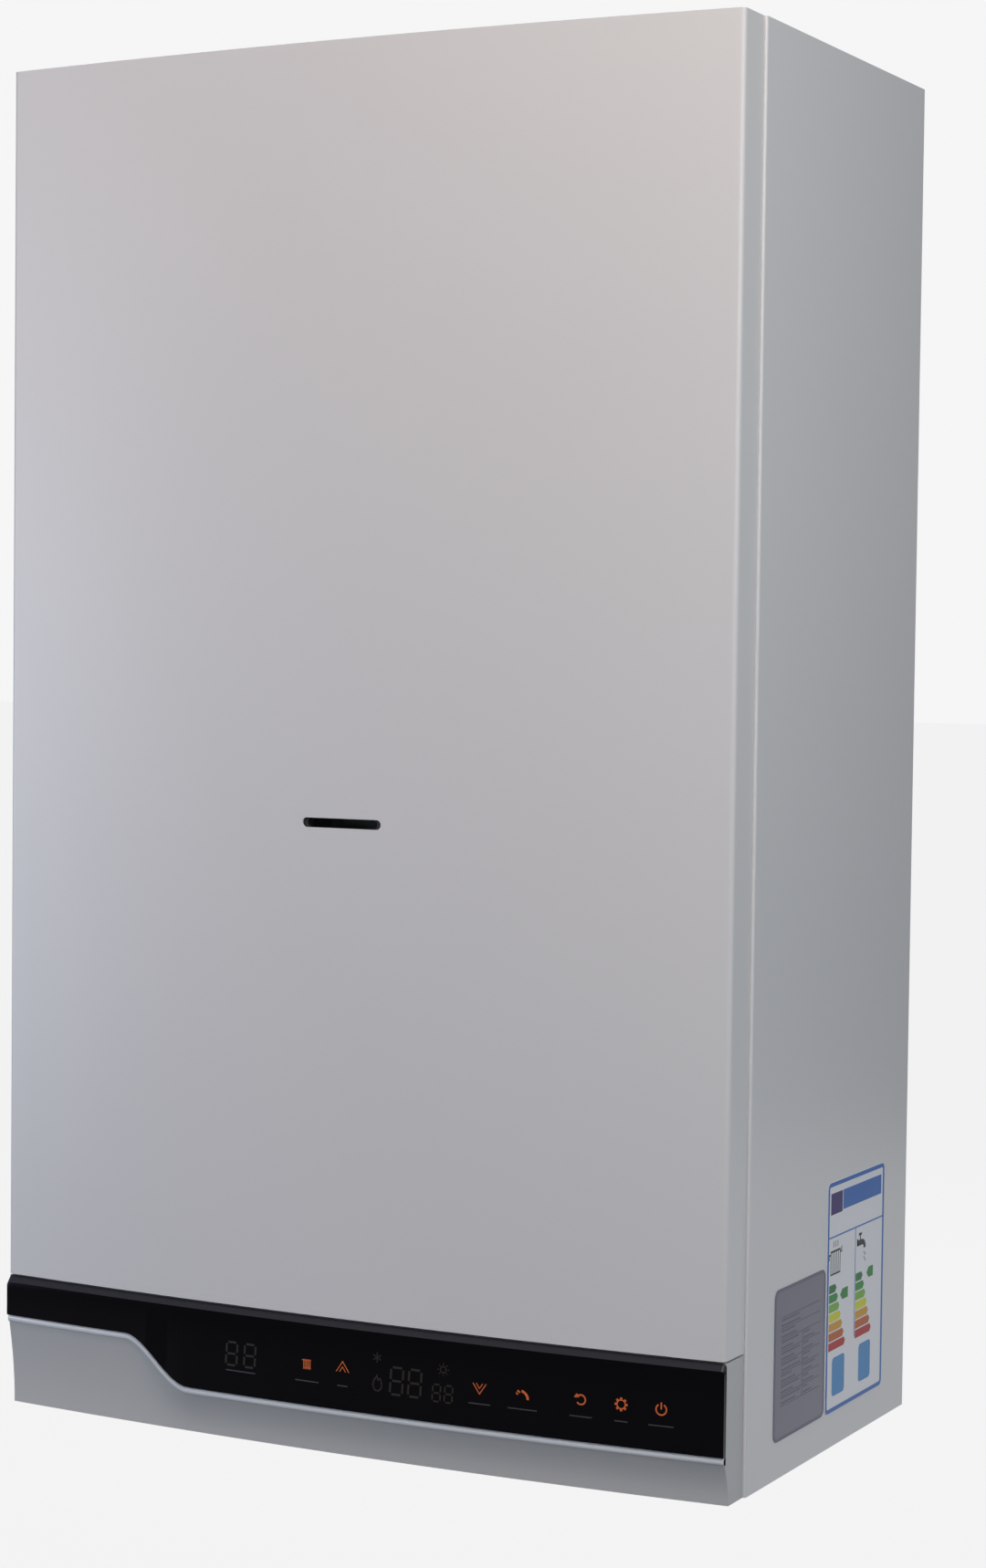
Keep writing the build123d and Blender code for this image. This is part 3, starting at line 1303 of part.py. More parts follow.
# Pump motor, a finned can that closes the volute and holds the rotor's shaft
with BuildPart() as pump_motor:
    rod((pump_x, volute_front, up(pump_height)), (0, -1, 0), pump_motor_radius, pump_motor_deep)
    fillet(pump_motor.edges().group_by(Axis.Y)[0], block_round)
    for count in range(pump_fin_count):
        y = volute_front - block_round - count * 2 * block_round
        tube((pump_x, y, up(pump_height)), (0, -1, 0), pump_motor_radius + pass_gap,
             pump_motor_radius - pass_gap, block_round / 2)
    rod((pump_x, volute_front, up(pump_height)), (0, -1, 0), pump_motor_radius + collar_over, block_round / 2)
    rod((pump_x, volute_front + overrun, up(pump_height)), (0, -1, 0), rotor_shaft + fit_gap,
        overrun + pump_bore_deep, mode=Mode.SUBTRACT)
save(pump_motor, "pump_motor")

# Pump rotor: an impeller on its shaft
rotor_back = -pump_back - volute_wall - (volute_deep - volute_wall - rotor_deep) / 2
with BuildPart() as pump_rotor:
    rod((pump_x, rotor_back, up(pump_height)), (0, -1, 0), rotor_radius, rotor_blade_thick)
    rod((pump_x, rotor_back - rotor_deep + rotor_blade_thick, up(pump_height)), (0, -1, 0), rotor_radius,
        rotor_blade_thick)
    with BuildSketch(upright(pump_x, rotor_back, up(pump_height))):
        with PolarLocations(rotor_blade_circle, rotor_blades):
            Rectangle(rotor_blade_long, rotor_blade_thick, rotation=rotor_blade_turn)
    extrude(amount=rotor_deep)
    rod((pump_x, rotor_back, up(pump_height)), (0, -1, 0), rotor_shaft,
        rotor_back - volute_front + pump_bore_deep - shaft_end_gap)
save(pump_rotor, "pump_rotor")

# Automatic air vent and its cap
vent_low = up(pump_height + volute_radius)
with BuildPart() as air_vent:
    rod((vent_x, -vent_depth, vent_low), (0, 0, 1), vent_radius, vent_tall)
    fillet(air_vent.edges().group_by(Axis.Z)[-1], vent_stem / 2)
    rod((vent_x, -vent_depth, vent_low), (0, 0, 1), vent_stem, vent_tall + vent_cap_tall - vent_stem)
save(air_vent, "air_vent")

with BuildPart() as vent_cap:
    cap_low = vent_low + vent_tall + touch_gap
    rod((vent_x, -vent_depth, cap_low), (0, 0, 1), vent_cap_radius, vent_cap_tall)
    with BuildSketch(Plane.XY.offset(cap_low)):
        with Locations((vent_x, -vent_depth)):
            with PolarLocations(vent_cap_radius, knob_ribs):
                Circle(knob_rib_radius / 2)
    extrude(amount=vent_cap_tall)
    rod((vent_x, -vent_depth, cap_low - overrun), (0, 0, 1), vent_stem + fit_gap,
        overrun + vent_cap_tall - vent_stem / 2, mode=Mode.SUBTRACT)
save(vent_cap, "vent_cap")

# Safety valve beside the return block, with its drain through the bottom plate
with BuildPart() as safety_valve:
    rod((relief_x, -relief_back, up(relief_height)), (0, -1, 0), relief_radius, relief_front - relief_back)
    rod((relief_x, -connection_depth, up(relief_height)), (0, 0, -1), relief_drain,
        relief_height - plate_height / 2)
    block((relief_x - relief_radius, relief_x),
          (-connection_depth - relief_drain, relief_drain - connection_depth),
          (up(relief_height) - relief_drain, up(relief_height) + relief_drain))
    rod((relief_x, -relief_front - overrun, up(relief_height)), (0, 1, 0), knob_stem + fit_gap,
        overrun + knob_stem_long + touch_gap, mode=Mode.SUBTRACT)
save(safety_valve, "safety_valve")


def ribbed_knob(centre, direction, radius, deep, stem_long):
    """A round knob with grip ribs, and a stem from its back."""
    plane = Plane(origin=centre, z_dir=direction)
    with BuildSketch(plane) as grip:
        Circle(radius - knob_rib_radius)
        with PolarLocations(radius - knob_rib_radius, knob_ribs):
            Circle(knob_rib_radius)
    extrude(grip.sketch, amount=deep)
    with BuildSketch(plane) as stem:
        Circle(knob_stem)
    extrude(stem.sketch, amount=-stem_long)


with BuildPart() as safety_valve_knob:
    ribbed_knob((relief_x, -relief_front - knob_gap, up(relief_height)), (0, -1, 0), relief_knob_radius,
                relief_knob_deep, knob_stem_long)
save(safety_valve_knob, "safety_valve_knob")

# Filling tap between the cold inlet and the heating circuit, worked from below the case
with BuildPart() as filling_tap:
    rod((tap_x, -tap_depth, up(tap_bottom)), (0, 0, 1), tap_radius, tap_top - tap_bottom)
    rod((tap_x, -tap_depth, up(plate_top_height)), (0, 0, 1), tap_radius + collar_over, collar_over)
    rod((tap_x, -tap_depth, up(tap_top) - tap_radius), (1, 0, 0), tap_radius / 2, return_left - tap_x)
    rod((tap_x, -tap_depth, up(tap_bottom) - overrun), (0, 0, 1), knob_stem + fit_gap,
        overrun + knob_stem_long + touch_gap, mode=Mode.SUBTRACT)
save(filling_tap, "filling_tap")

with BuildPart() as filling_knob:
    ribbed_knob((tap_x, -tap_depth, up(tap_bottom) - knob_gap), (0, 0, -1), tap_knob_radius, tap_knob_tall,
                knob_stem_long)
save(filling_knob, "filling_knob")

# Pressure gauge let into the bottom plate, read from below
dial_z = up(gauge_bottom + gauge_dial)
gauge_top = up(plate_top_height + gauge_rim)
with BuildPart() as pressure_gauge:
    rod((gauge_x, -gauge_depth, up(gauge_bottom)), (0, 0, 1), gauge_radius, gauge_top - up(gauge_bottom))
    rod((gauge_x, -gauge_depth, up(plate_top_height)), (0, 0, 1), gauge_radius + 2 * gauge_rim, gauge_rim)
    rod((gauge_x, -gauge_depth, up(gauge_bottom) - overrun), (0, 0, 1), gauge_radius - gauge_wall,
        overrun + gauge_dial, mode=Mode.SUBTRACT)
    rod((gauge_x, -gauge_depth, gauge_top), (0, 0, 1), gauge_tail, 3 * gauge_tail)
    rod((gauge_x, -gauge_depth, dial_z - overrun), (0, 0, 1), pointer_pin + fit_gap,
        overrun + pointer_pin_long, mode=Mode.SUBTRACT)
save(pressure_gauge, "pressure_gauge")

with BuildPart() as gauge_pointer:
    pointer_z = dial_z - touch_gap
    rod((gauge_x, -gauge_depth, pointer_z), (0, 0, -1), pointer_hub, 2 * pointer_thick)
    rod((gauge_x, -gauge_depth, pointer_z), (0, 0, 1), pointer_pin, pointer_pin_long)
    block((gauge_x - pointer_wide / 2, gauge_x + pointer_wide / 2),
          (-gauge_depth - pointer_hub, pointer_long - gauge_depth), (pointer_z - pointer_thick, pointer_z))
save(gauge_pointer, "gauge_pointer")

# Gas valve with its two coils
with BuildPart() as gas_valve:
    half = valve_width / 2
    block((gas_x - half, gas_x + half), (-valve_front, -valve_back), (up(valve_bottom), up(valve_top)))
    fillet(gas_valve.edges().filter_by(Axis.Z), valve_round)
    valve_middle = -(valve_front + valve_back) / 2
    for x in coil_places:
        rod((x, valve_middle + coil_radius, up(valve_top)), (0, 0, 1), coil_radius, coil_tall)
    plug_low = up(valve_bottom + valve_plug_low)
    block((gas_x - half / 2, gas_x + half / 2), (-valve_front - valve_plug_deep, -valve_front),
          (plug_low, plug_low + valve_plug_tall))
    rod((gas_x, -valve_back, up(valve_inlet_height)), (0, 1, 0), wide_thread, collar_over)
save(gas_valve, "gas_valve")

# Gas pipe from its threaded end up to the back of the valve
with BuildPart() as gas_pipe:
    bent_tube([(gas_x, -connection_depth, up(-connection_drop)),
               (gas_x, -connection_depth, up(valve_inlet_height)),
               (gas_x, collar_over - valve_back, up(valve_inlet_height))],
              copper_bend, copper_radius, copper_radius - copper_wall)
    threaded_end(gas_x, wide_thread, copper_radius - copper_wall)
save(gas_pipe, "gas_pipe")

# Hose from the expansion vessel to the return block
hose_top = up(vessel_bottom) - vessel_rim
hose_end = (return_left + 2 * block_round + hose_radius, -block_back - hose_radius - block_round)
with BuildPart() as vessel_hose:
    bent_tube([(vessel_pad_inset, rim_y, hose_top),
               (vessel_pad_inset, rim_y, up(plate_pack_top) + 3 * hose_bend),
               (*hose_end, up(plate_pack_top) + hose_bend / 2), (*hose_end, up(return_top))],
              hose_bend, hose_radius, hose_radius / 2)
save(vessel_hose, "vessel_hose")

# Rubber grommet for the mains and thermostat cables
with BuildPart() as cable_grommet:
    tube((grommet_x, -grommet_depth, up(plate_height)), (0, 0, 1), grommet_radius, grommet_bore, frame_sheet)
    tube((grommet_x, -grommet_depth, up(plate_top_height)), (0, 0, 1), grommet_lip, grommet_bore,
         grommet_over)
    tube((grommet_x, -grommet_depth, up(plate_height)), (0, 0, -1), grommet_lip, grommet_bore, grommet_over)
save(cable_grommet, "cable_grommet")


def side_label(front, wide, low, tall, name):
    """A thin plate with rounded corners on the outside of the right side panel."""
    centre = (side_out, front_y + front + wide / 2, up(low + tall / 2))
    with BuildPart() as label:
        with BuildSketch(Plane(origin=centre, x_dir=(0, 1, 0), z_dir=(1, 0, 0))):
            RectangleRounded(wide, tall, plate_corner)
        extrude(amount=label_thick)
    save(label, name)


# Information label and rating plate, both left without words
side_label(energy_front, energy_wide, energy_low, energy_tall, "info_label")
side_label(rating_front, rating_wide, rating_low, rating_tall, "rating_plate")
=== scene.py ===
import math

import bmesh
import bpy
from mathutils import Matrix, Vector


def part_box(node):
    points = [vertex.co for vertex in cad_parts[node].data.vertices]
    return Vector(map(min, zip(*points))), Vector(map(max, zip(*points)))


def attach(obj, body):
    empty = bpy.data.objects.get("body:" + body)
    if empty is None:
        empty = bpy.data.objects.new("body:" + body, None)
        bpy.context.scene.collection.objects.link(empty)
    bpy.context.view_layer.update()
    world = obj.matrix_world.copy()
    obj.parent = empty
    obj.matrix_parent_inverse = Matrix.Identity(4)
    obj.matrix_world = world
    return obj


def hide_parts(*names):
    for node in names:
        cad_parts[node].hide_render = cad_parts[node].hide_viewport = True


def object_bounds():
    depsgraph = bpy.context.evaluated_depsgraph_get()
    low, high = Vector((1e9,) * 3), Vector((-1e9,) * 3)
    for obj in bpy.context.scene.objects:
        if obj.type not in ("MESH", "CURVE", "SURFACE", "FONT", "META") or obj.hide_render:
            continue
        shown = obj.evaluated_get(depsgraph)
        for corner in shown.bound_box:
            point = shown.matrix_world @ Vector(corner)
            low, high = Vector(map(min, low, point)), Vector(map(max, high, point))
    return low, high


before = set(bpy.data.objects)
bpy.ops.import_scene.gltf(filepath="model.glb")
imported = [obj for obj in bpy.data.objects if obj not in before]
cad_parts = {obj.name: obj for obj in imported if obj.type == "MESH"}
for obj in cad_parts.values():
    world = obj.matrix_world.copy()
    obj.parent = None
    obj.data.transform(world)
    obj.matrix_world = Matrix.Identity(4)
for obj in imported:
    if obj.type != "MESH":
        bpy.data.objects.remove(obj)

cad_low, cad_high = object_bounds()

# Camera
# The boiler is seen from its right, from a little above half its height, as in the photograph.
# Place and turn are those of the camera that was fitted to the corners of the case.
camera_place = Vector((0.8064, -1.6366, -0.2425))
camera_turn = math.radians(27.50)
camera_tip = math.radians(-2.56)
camera_roll = math.radians(0.66)
camera_lens, camera_sensor = 72.4, 36


def facing(right, up, out):
    """The turn that lays the x, y and z of a thing along three directions."""
    return Matrix((right, up, out)).transposed().to_4x4()


sight = Vector((-math.sin(camera_turn) * math.cos(camera_tip),
                math.cos(camera_turn) * math.cos(camera_tip), math.sin(camera_tip)))
level = Vector((math.cos(camera_turn), math.sin(camera_turn), 0))
upward = level.cross(sight)
across = math.cos(camera_roll) * level + math.sin(camera_roll) * upward
upward = across.cross(sight)
camera_data = bpy.data.cameras.new("camera")
camera_data.lens = camera_lens
camera_data.sensor_width = camera_sensor
camera = bpy.data.objects.new("camera", camera_data)
camera.matrix_world = Matrix.Translation(camera_place) @ facing(across, upward, -sight)
bpy.context.scene.collection.objects.link(camera)
bpy.context.scene.camera = camera
bpy.context.scene.view_settings.view_transform = "Standard"

# Floor, surroundings and lights
# A pale floor lies below the hanging boiler, seen only from above, in even surroundings. Soft lamps
# stand in front, warm above and cooler at both sides, and two light the back and the underside.
# The tall strip on the right shows in the rounded edges.
floor_drop, floor_reach = 0.35, 30.0
floor_height = cad_low.z - floor_drop
floor_colour, floor_roughness = (0.18, 0.18, 0.18), 0.9
floor_glow_share = 0.88
sky_front = (0.92, 0.92, 0.92)
sky_below, sky_above, sky_above_share = (0.15, 0.155, 0.165), (0.20, 0.23, 0.28), 0.9
lamp_lift = 0.02

floor_corners = [(x * floor_reach, y * floor_reach, floor_height)
                 for x, y in ((-1, -1), (1, -1), (1, 1), (-1, 1))]
floor_mesh = bpy.data.meshes.new("floor")
floor_mesh.from_pydata(floor_corners, [], [(0, 1, 2, 3)])
floor = bpy.data.objects.new("floor", floor_mesh)
bpy.context.scene.collection.objects.link(floor)
floor_paint = bpy.data.materials.new("pale_floor")
floor_paint.use_nodes = True
floor_nodes = floor_paint.node_tree.nodes
floor_wire = floor_paint.node_tree.links.new
floor_shader = floor_nodes["Principled BSDF"]
floor_shader.inputs["Base Color"].default_value = (*floor_colour, 1)
floor_shader.inputs["Roughness"].default_value = floor_roughness
floor_glow = floor_nodes.new("ShaderNodeEmission")
floor_glow.inputs["Color"].default_value = (1, 1, 1, 1)
floor_ray = floor_nodes.new("ShaderNodeLightPath")
floor_share = floor_nodes.new("ShaderNodeMath")
floor_share.operation = "MULTIPLY"
floor_share.inputs[1].default_value = floor_glow_share
floor_mix = floor_nodes.new("ShaderNodeMixShader")
floor_wire(floor_ray.outputs["Is Camera Ray"], floor_share.inputs[0])
floor_wire(floor_share.outputs[0], floor_mix.inputs[0])
floor_wire(floor_shader.outputs[0], floor_mix.inputs[1])
floor_wire(floor_glow.outputs[0], floor_mix.inputs[2])
floor_clear = floor_nodes.new("ShaderNodeBsdfTransparent")
floor_side = floor_nodes.new("ShaderNodeNewGeometry")
floor_sides = floor_nodes.new("ShaderNodeMixShader")
floor_wire(floor_side.outputs["Backfacing"], floor_sides.inputs[0])
floor_wire(floor_mix.outputs[0], floor_sides.inputs[1])
floor_wire(floor_clear.outputs[0], floor_sides.inputs[2])
floor_wire(floor_sides.outputs[0], floor_nodes["Material Output"].inputs["Surface"])
floor.data.materials.append(floor_paint)

world = bpy.data.worlds.new("surroundings")
bpy.context.scene.world = world
world.use_nodes = True
sky = world.node_tree
sky.nodes.clear()
sky_seen = sky.nodes.new("ShaderNodeBackground")
sky_seen.inputs["Color"].default_value = (*sky_front, 1)
sky_way = sky.nodes.new("ShaderNodeTexCoord")
sky_split = sky.nodes.new("ShaderNodeSeparateXYZ")
sky_tones = sky.nodes.new("ShaderNodeValToRGB")
sky_tones.color_ramp.elements[0].position = 0.0
sky_tones.color_ramp.elements[0].color = (*sky_below, 1)
sky_tones.color_ramp.elements[1].position = sky_above_share
sky_tones.color_ramp.elements[1].color = (*sky_above, 1)
sky_fill = sky.nodes.new("ShaderNodeBackground")
sky_ray = sky.nodes.new("ShaderNodeLightPath")
sky_mix = sky.nodes.new("ShaderNodeMixShader")
sky_out = sky.nodes.new("ShaderNodeOutputWorld")
sky.links.new(sky_way.outputs["Generated"], sky_split.inputs[0])
sky.links.new(sky_split.outputs["Z"], sky_tones.inputs["Fac"])
sky.links.new(sky_tones.outputs["Color"], sky_fill.inputs["Color"])
sky.links.new(sky_ray.outputs["Is Camera Ray"], sky_mix.inputs[0])
sky.links.new(sky_fill.outputs[0], sky_mix.inputs[1])
sky.links.new(sky_seen.outputs[0], sky_mix.inputs[2])
sky.links.new(sky_mix.outputs[0], sky_out.inputs["Surface"])


def soft_light(name, place, aim, size, watts, colour, tall=None):
    """A square lamp that faces a point, or an upright strip where its height is given."""
    lamp = bpy.data.lights.new(name, "AREA")
    lamp.shape = "RECTANGLE"
    lamp.size = size
    lamp.size_y = tall or size
    lamp.energy = watts
    lamp.color = colour
    holder = bpy.data.objects.new(name, lamp)
    holder.location = place
    holder.rotation_mode = "QUATERNION"
    holder.rotation_quaternion = (Vector(aim) - Vector(place)).to_track_quat("-Z", "Y")
    holder.visible_camera = False
    bpy.context.scene.collection.objects.link(holder)


soft_light("warm_key", (0.35, -0.9, 1.0), (0.1, -0.25, 0), 0.6, 9.8, (1.0, 0.77, 0.65))
soft_light("left_far", (-1.9, -1.6, 0.0), (-0.2, -0.25, -0.2), 0.9, 8.3, (0.98, 0.97, 1.0))
soft_light("left_near", (-1.3, -0.9, -0.42), (-0.2, -0.25, -0.38), 0.6, 5.4, (0.64, 0.77, 1.0))
soft_light("right_strip", (1.65, -1.2, -0.2), (0.21, -0.22, -0.2), 0.12, 5.8, (0.76, 0.82, 1.0),
           tall=1.6)
soft_light("right_near", (1.05, -0.72, 0.15), (0.2, -0.2, -0.12), 0.5, 3.9, (0.86, 0.92, 0.90))
soft_light("behind", (-0.9, 2.2, 0.7), (0, 0, -0.3), 1.4, 34, (1.0, 0.98, 0.95))
soft_light("below", (0.1, 0.4, floor_height + lamp_lift), (0, -0.1, -0.6), 1.0, 2.0,
           (1.0, 1.0, 1.0))

# Front cover
# The cover is a pan of thin steel sheet, slightly bowed, folded on all four sides and stove
# enamelled in satin white. Four tongues on its side folds sit in slots of the side panels.
enamel_white = (0.74, 0.735, 0.725)
patch_detail, grain_detail = 4, 3
grain_share, noise_middle = 0.5, 0.5
play_inputs = (("Colour", "Color", (0.5, 0.5, 0.5, 1)), ("Tone Spread", "Float", 0.05),
               ("Patch Scale", "Float", 12.0), ("Roughness", "Float", 0.4),
               ("Roughness Spread", "Float", 0.05), ("Grain Scale", "Float", 600.0),
               ("Grain Stretch", "Vector", (1, 1, 1)))
play_outputs = (("Colour", "Color"), ("Roughness", "Float"), ("Height", "Float"))

surface_play = bpy.data.node_groups.new("surface_play", "ShaderNodeTree")
for name, kind, value in play_inputs:
    made = surface_play.interface.new_socket(name, in_out="INPUT", socket_type="NodeSocket" + kind)
    made.default_value = value
for name, kind in play_outputs:
    surface_play.interface.new_socket(name, in_out="OUTPUT", socket_type="NodeSocket" + kind)
play = surface_play.nodes
wire = surface_play.links.new
play_in = play.new("NodeGroupInput")
play_out = play.new("NodeGroupOutput")
where = play.new("ShaderNodeTexCoord")
patches = play.new("ShaderNodeTexNoise")
patches.inputs["Detail"].default_value = patch_detail
wire(where.outputs["Object"], patches.inputs["Vector"])
wire(play_in.outputs["Patch Scale"], patches.inputs["Scale"])
stretched = play.new("ShaderNodeVectorMath")
stretched.operation = "MULTIPLY"
wire(where.outputs["Object"], stretched.inputs[0])
wire(play_in.outputs["Grain Stretch"], stretched.inputs[1])
grain = play.new("ShaderNodeTexNoise")
grain.inputs["Detail"].default_value = grain_detail
wire(stretched.outputs[0], grain.inputs["Vector"])
wire(play_in.outputs["Grain Scale"], grain.inputs["Scale"])
both = play.new("ShaderNodeMath")
both.operation = "MULTIPLY_ADD"
wire(grain.outputs["Fac"], both.inputs[0])
both.inputs[1].default_value = grain_share
wire(patches.outputs["Fac"], both.inputs[2])
centred = play.new("ShaderNodeMath")
centred.operation = "SUBTRACT"
wire(both.outputs[0], centred.inputs[0])
centred.inputs[1].default_value = noise_middle * (1 + grain_share)
lift = play.new("ShaderNodeMath")
lift.operation = "MULTIPLY_ADD"
wire(centred.outputs[0], lift.inputs[0])
wire(play_in.outputs["Tone Spread"], lift.inputs[1])
lift.inputs[2].default_value = 1.0
toned = play.new("ShaderNodeVectorMath")
toned.operation = "SCALE"
wire(play_in.outputs["Colour"], toned.inputs[0])
wire(lift.outputs[0], toned.inputs["Scale"])
wire(toned.outputs[0], play_out.inputs["Colour"])
roughened = play.new("ShaderNodeMath")
roughened.operation = "MULTIPLY_ADD"
wire(centred.outputs[0], roughened.inputs[0])
wire(play_in.outputs["Roughness Spread"], roughened.inputs[1])
wire(play_in.outputs["Roughness"], roughened.inputs[2])
wire(roughened.outputs[0], play_out.inputs["Roughness"])
wire(grain.outputs["Fac"], play_out.inputs["Height"])


def surface(name, colour, roughness, metallic=0.0, tone=0.06, patch=14.0, rough_spread=0.06,
            grain_scale=600.0, stretch=(1, 1, 1), bump=0.02, bump_depth=0.0002, coat=0.0):
    """A material whose colour, roughness and fine grain change a little over the surface."""
    made = bpy.data.materials.new(name)
    made.use_nodes = True
    tree = made.node_tree
    shader = tree.nodes["Principled BSDF"]
    vary = tree.nodes.new("ShaderNodeGroup")
    vary.node_tree = surface_play
    vary.inputs["Colour"].default_value = (*colour, 1)
    vary.inputs["Tone Spread"].default_value = tone
    vary.inputs["Patch Scale"].default_value = patch
    vary.inputs["Roughness"].default_value = roughness
    vary.inputs["Roughness Spread"].default_value = rough_spread
    vary.inputs["Grain Scale"].default_value = grain_scale
    vary.inputs["Grain Stretch"].default_value = stretch
    raised = tree.nodes.new("ShaderNodeBump")
    raised.inputs["Strength"].default_value = bump
    raised.inputs["Distance"].default_value = bump_depth
    tree.links.new(vary.outputs["Colour"], shader.inputs["Base Color"])
    tree.links.new(vary.outputs["Roughness"], shader.inputs["Roughness"])
    tree.links.new(vary.outputs["Height"], raised.inputs["Height"])
    tree.links.new(raised.outputs["Normal"], shader.inputs["Normal"])
    shader.inputs["Metallic"].default_value = metallic
    shader.inputs["Coat Weight"].default_value = coat
    made.diffuse_color = (*colour, 1)
    return made


def dress(material, *names):
    """Give CAD nodes a material."""
    for name in names:
        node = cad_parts[name]
        node.data.materials.clear()
        node.data.materials.append(material)


white_enamel = surface("white_enamel", enamel_white, 0.34, tone=0.03, patch=5, grain_scale=420,
                       bump=0.10, bump_depth=0.0001)
dress(white_enamel, "front_cover")

# Side panels
# Each side of the case is one steel sheet with a rounded front fold and a return that takes the
# tongues of the cover. It has the same satin white enamel as the cover.
dress(white_enamel, "side_panel_left", "side_panel_right")

# Sight slot insert
# A black plastic frame, moulded in one piece, is clipped behind the slot in the cover, so that the
# flame can be looked at with the cover on.
black_plastic = surface("black_plastic", (0.022, 0.021, 0.023), 0.45, tone=0.15, grain_scale=900,
                        bump=0.12)
dress(black_plastic, "peephole_insert")

# Control panel housing
# The light grey moulding carries the fascia and the circuit boards, and folds down on its hinge.
# Its front sweeps in below a bead, and its skin is finely textured.
light_plastic = surface("light_plastic", (0.560, 0.558, 0.545), 0.42, tone=0.03, patch=8,
                        grain_scale=1100, bump=0.14, bump_depth=0.00012)
dress(light_plastic, "control_housing")

# Touch fascia
# A black plate of glossy acrylic, bevelled along its top edge, snaps into the housing. Its lower
# edge follows the bead in a long S, and its face follows the bow of the cover.
case_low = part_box("side_panel_right")[0].z
bow_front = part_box("front_cover")[0].y
bow_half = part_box("front_cover")[1].x
bow_deep = 0.009
bow_radius = (bow_half**2 + bow_deep**2) / (2 * bow_deep)
bow_centre = bow_front + bow_radius
fascia_low, fascia_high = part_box("touch_fascia")
fascia_deep, skin_back = 0.0029, 0.00006
face_out = bow_front - fascia_low.y - skin_back
back_out = face_out - fascia_deep
swoop_left, swoop_right = -0.1315, -0.0905
swoop_high, swoop_low = 0.04895, 0.02495
bevel_tall, bevel_deep = 0.0034, 0.0024
# The top bevel's colour is a lighter grey than the black face: a painted reflection of the light
# the bevel faces.
bevel_painted_sheen, gloss_shine = (0.036, 0.036, 0.042), 0.14
fascia_round, fascia_corner = 0.0003, 0.002
foot_share, crest_share, crest_rise_share = 0.3, 0.2, 0.5
fascia_steps, fascia_corner_turn = 106, 15
fascia_crease = math.radians(28)


def bow_y(x, out):
    """The depth of a surface that follows the cover's bow, so far in front of the cover."""
    return bow_centre - math.sqrt((bow_radius + out)**2 - x**2)


def as_object(name, made):
    """Turn a bmesh into an object in the scene."""
    bmesh.ops.recalc_face_normals(made, faces=made.faces)
    mesh = bpy.data.meshes.new(name)
    made.to_mesh(mesh)
    made.free()
    piece = bpy.data.objects.new(name, mesh)
    bpy.context.scene.collection.objects.link(piece)
    return piece


def mesh_piece(name, made, material, body):
    """A piece from a bmesh, riding on a body."""
    piece = as_object(name, made)
    piece.data.materials.append(material)
    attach(piece, body)
    return piece


def skin(made, rings):
    """Faces between rings of points, each ring closed on itself, and a cap on both ends."""
    rings = [[made.verts.new(point) for point in ring] for ring in rings]
    for first, second in zip(rings, rings[1:]):
        for step in range(len(first)):
            after = (step + 1) % len(first)
            made.faces.new((first[step], first[after], second[after], second[step]))
    made.faces.new(rings[0])
    made.faces.new(list(reversed(rings[-1])))


def swoop(x):
    """The height of the fascia's lower edge above the case's lower edge."""
    share = min(max((x - swoop_left) / (swoop_right - swoop_left), 0), 1)
    return swoop_high + (swoop_low - swoop_high) * share**2 * (3 - 2 * share)


black_gloss = surface("black_gloss", (0.0045, 0.0040, 0.0050), 0.16, tone=0.1, rough_spread=0.04,
                      grain_scale=500, bump=0.01)
gloss_tree = black_gloss.node_tree
gloss_shader = gloss_tree.nodes["Principled BSDF"]
gloss_shader.inputs["Specular IOR Level"].default_value = gloss_shine
# Paint the band of the top bevel a lighter grey, as a painted reflection on the same black acrylic.
gloss_where = gloss_tree.nodes.new("ShaderNodeTexCoord")
gloss_split = gloss_tree.nodes.new("ShaderNodeSeparateXYZ")
bevel_sheen_mask = gloss_tree.nodes.new("ShaderNodeMath")
bevel_sheen_mask.operation = "GREATER_THAN"
bevel_sheen_mask.inputs[1].default_value = fascia_high.z - bevel_tall
bevel_sheen_mix = gloss_tree.nodes.new("ShaderNodeMix")
bevel_sheen_mix.data_type = "RGBA"
bevel_sheen_mix.inputs["B"].default_value = (*bevel_painted_sheen, 1)
gloss_colour = gloss_shader.inputs["Base Color"]
gloss_tree.links.new(gloss_where.outputs["Object"], gloss_split.inputs[0])
gloss_tree.links.new(gloss_split.outputs["Z"], bevel_sheen_mask.inputs[0])
gloss_tree.links.new(bevel_sheen_mask.outputs[0], bevel_sheen_mix.inputs["Factor"])
gloss_tree.links.new(gloss_colour.links[0].from_socket, bevel_sheen_mix.inputs["A"])
gloss_tree.links.new(bevel_sheen_mix.outputs["Result"], gloss_colour)

fascia_places = []
for turn in range(0, 91, fascia_corner_turn):
    side = fascia_high.x - fascia_corner * (1 - math.sin(math.radians(turn)))
    fascia_places.append((side, fascia_corner * (1 - math.cos(math.radians(turn)))))
inner = fascia_places[0][0]
fascia_places = ([(-side, drop) for side, drop in reversed(fascia_places)]
                 + [(inner * (step / fascia_steps - 1), 0) for step in range(1, 2 * fascia_steps)]
                 + fascia_places)
fascia_rings = []
for x, drop in fascia_places:
    low, high = case_low + swoop(x), fascia_high.z - drop
    bevel_low = high - bevel_tall
    profile = ((back_out, low), (face_out - fascia_round, low),
               (face_out - foot_share * fascia_round, low + foot_share * fascia_round),
               (face_out, low + fascia_round), (face_out, bevel_low - fascia_round),
               (face_out - crest_share * fascia_round, bevel_low + crest_rise_share * fascia_round),
               (face_out - bevel_deep, high - fascia_round),
               (face_out - bevel_deep - fascia_round, high), (back_out, high))
    fascia_rings.append([(x, bow_y(x, out), z) for out, z in profile])
fascia_mesh = bmesh.new()
skin(fascia_mesh, fascia_rings)
fascia = mesh_piece("fascia_plate", fascia_mesh, black_gloss, "panel")
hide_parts("touch_fascia")
fascia.data.shade_smooth()
fascia.data.set_sharp_from_angle(angle=fascia_crease)
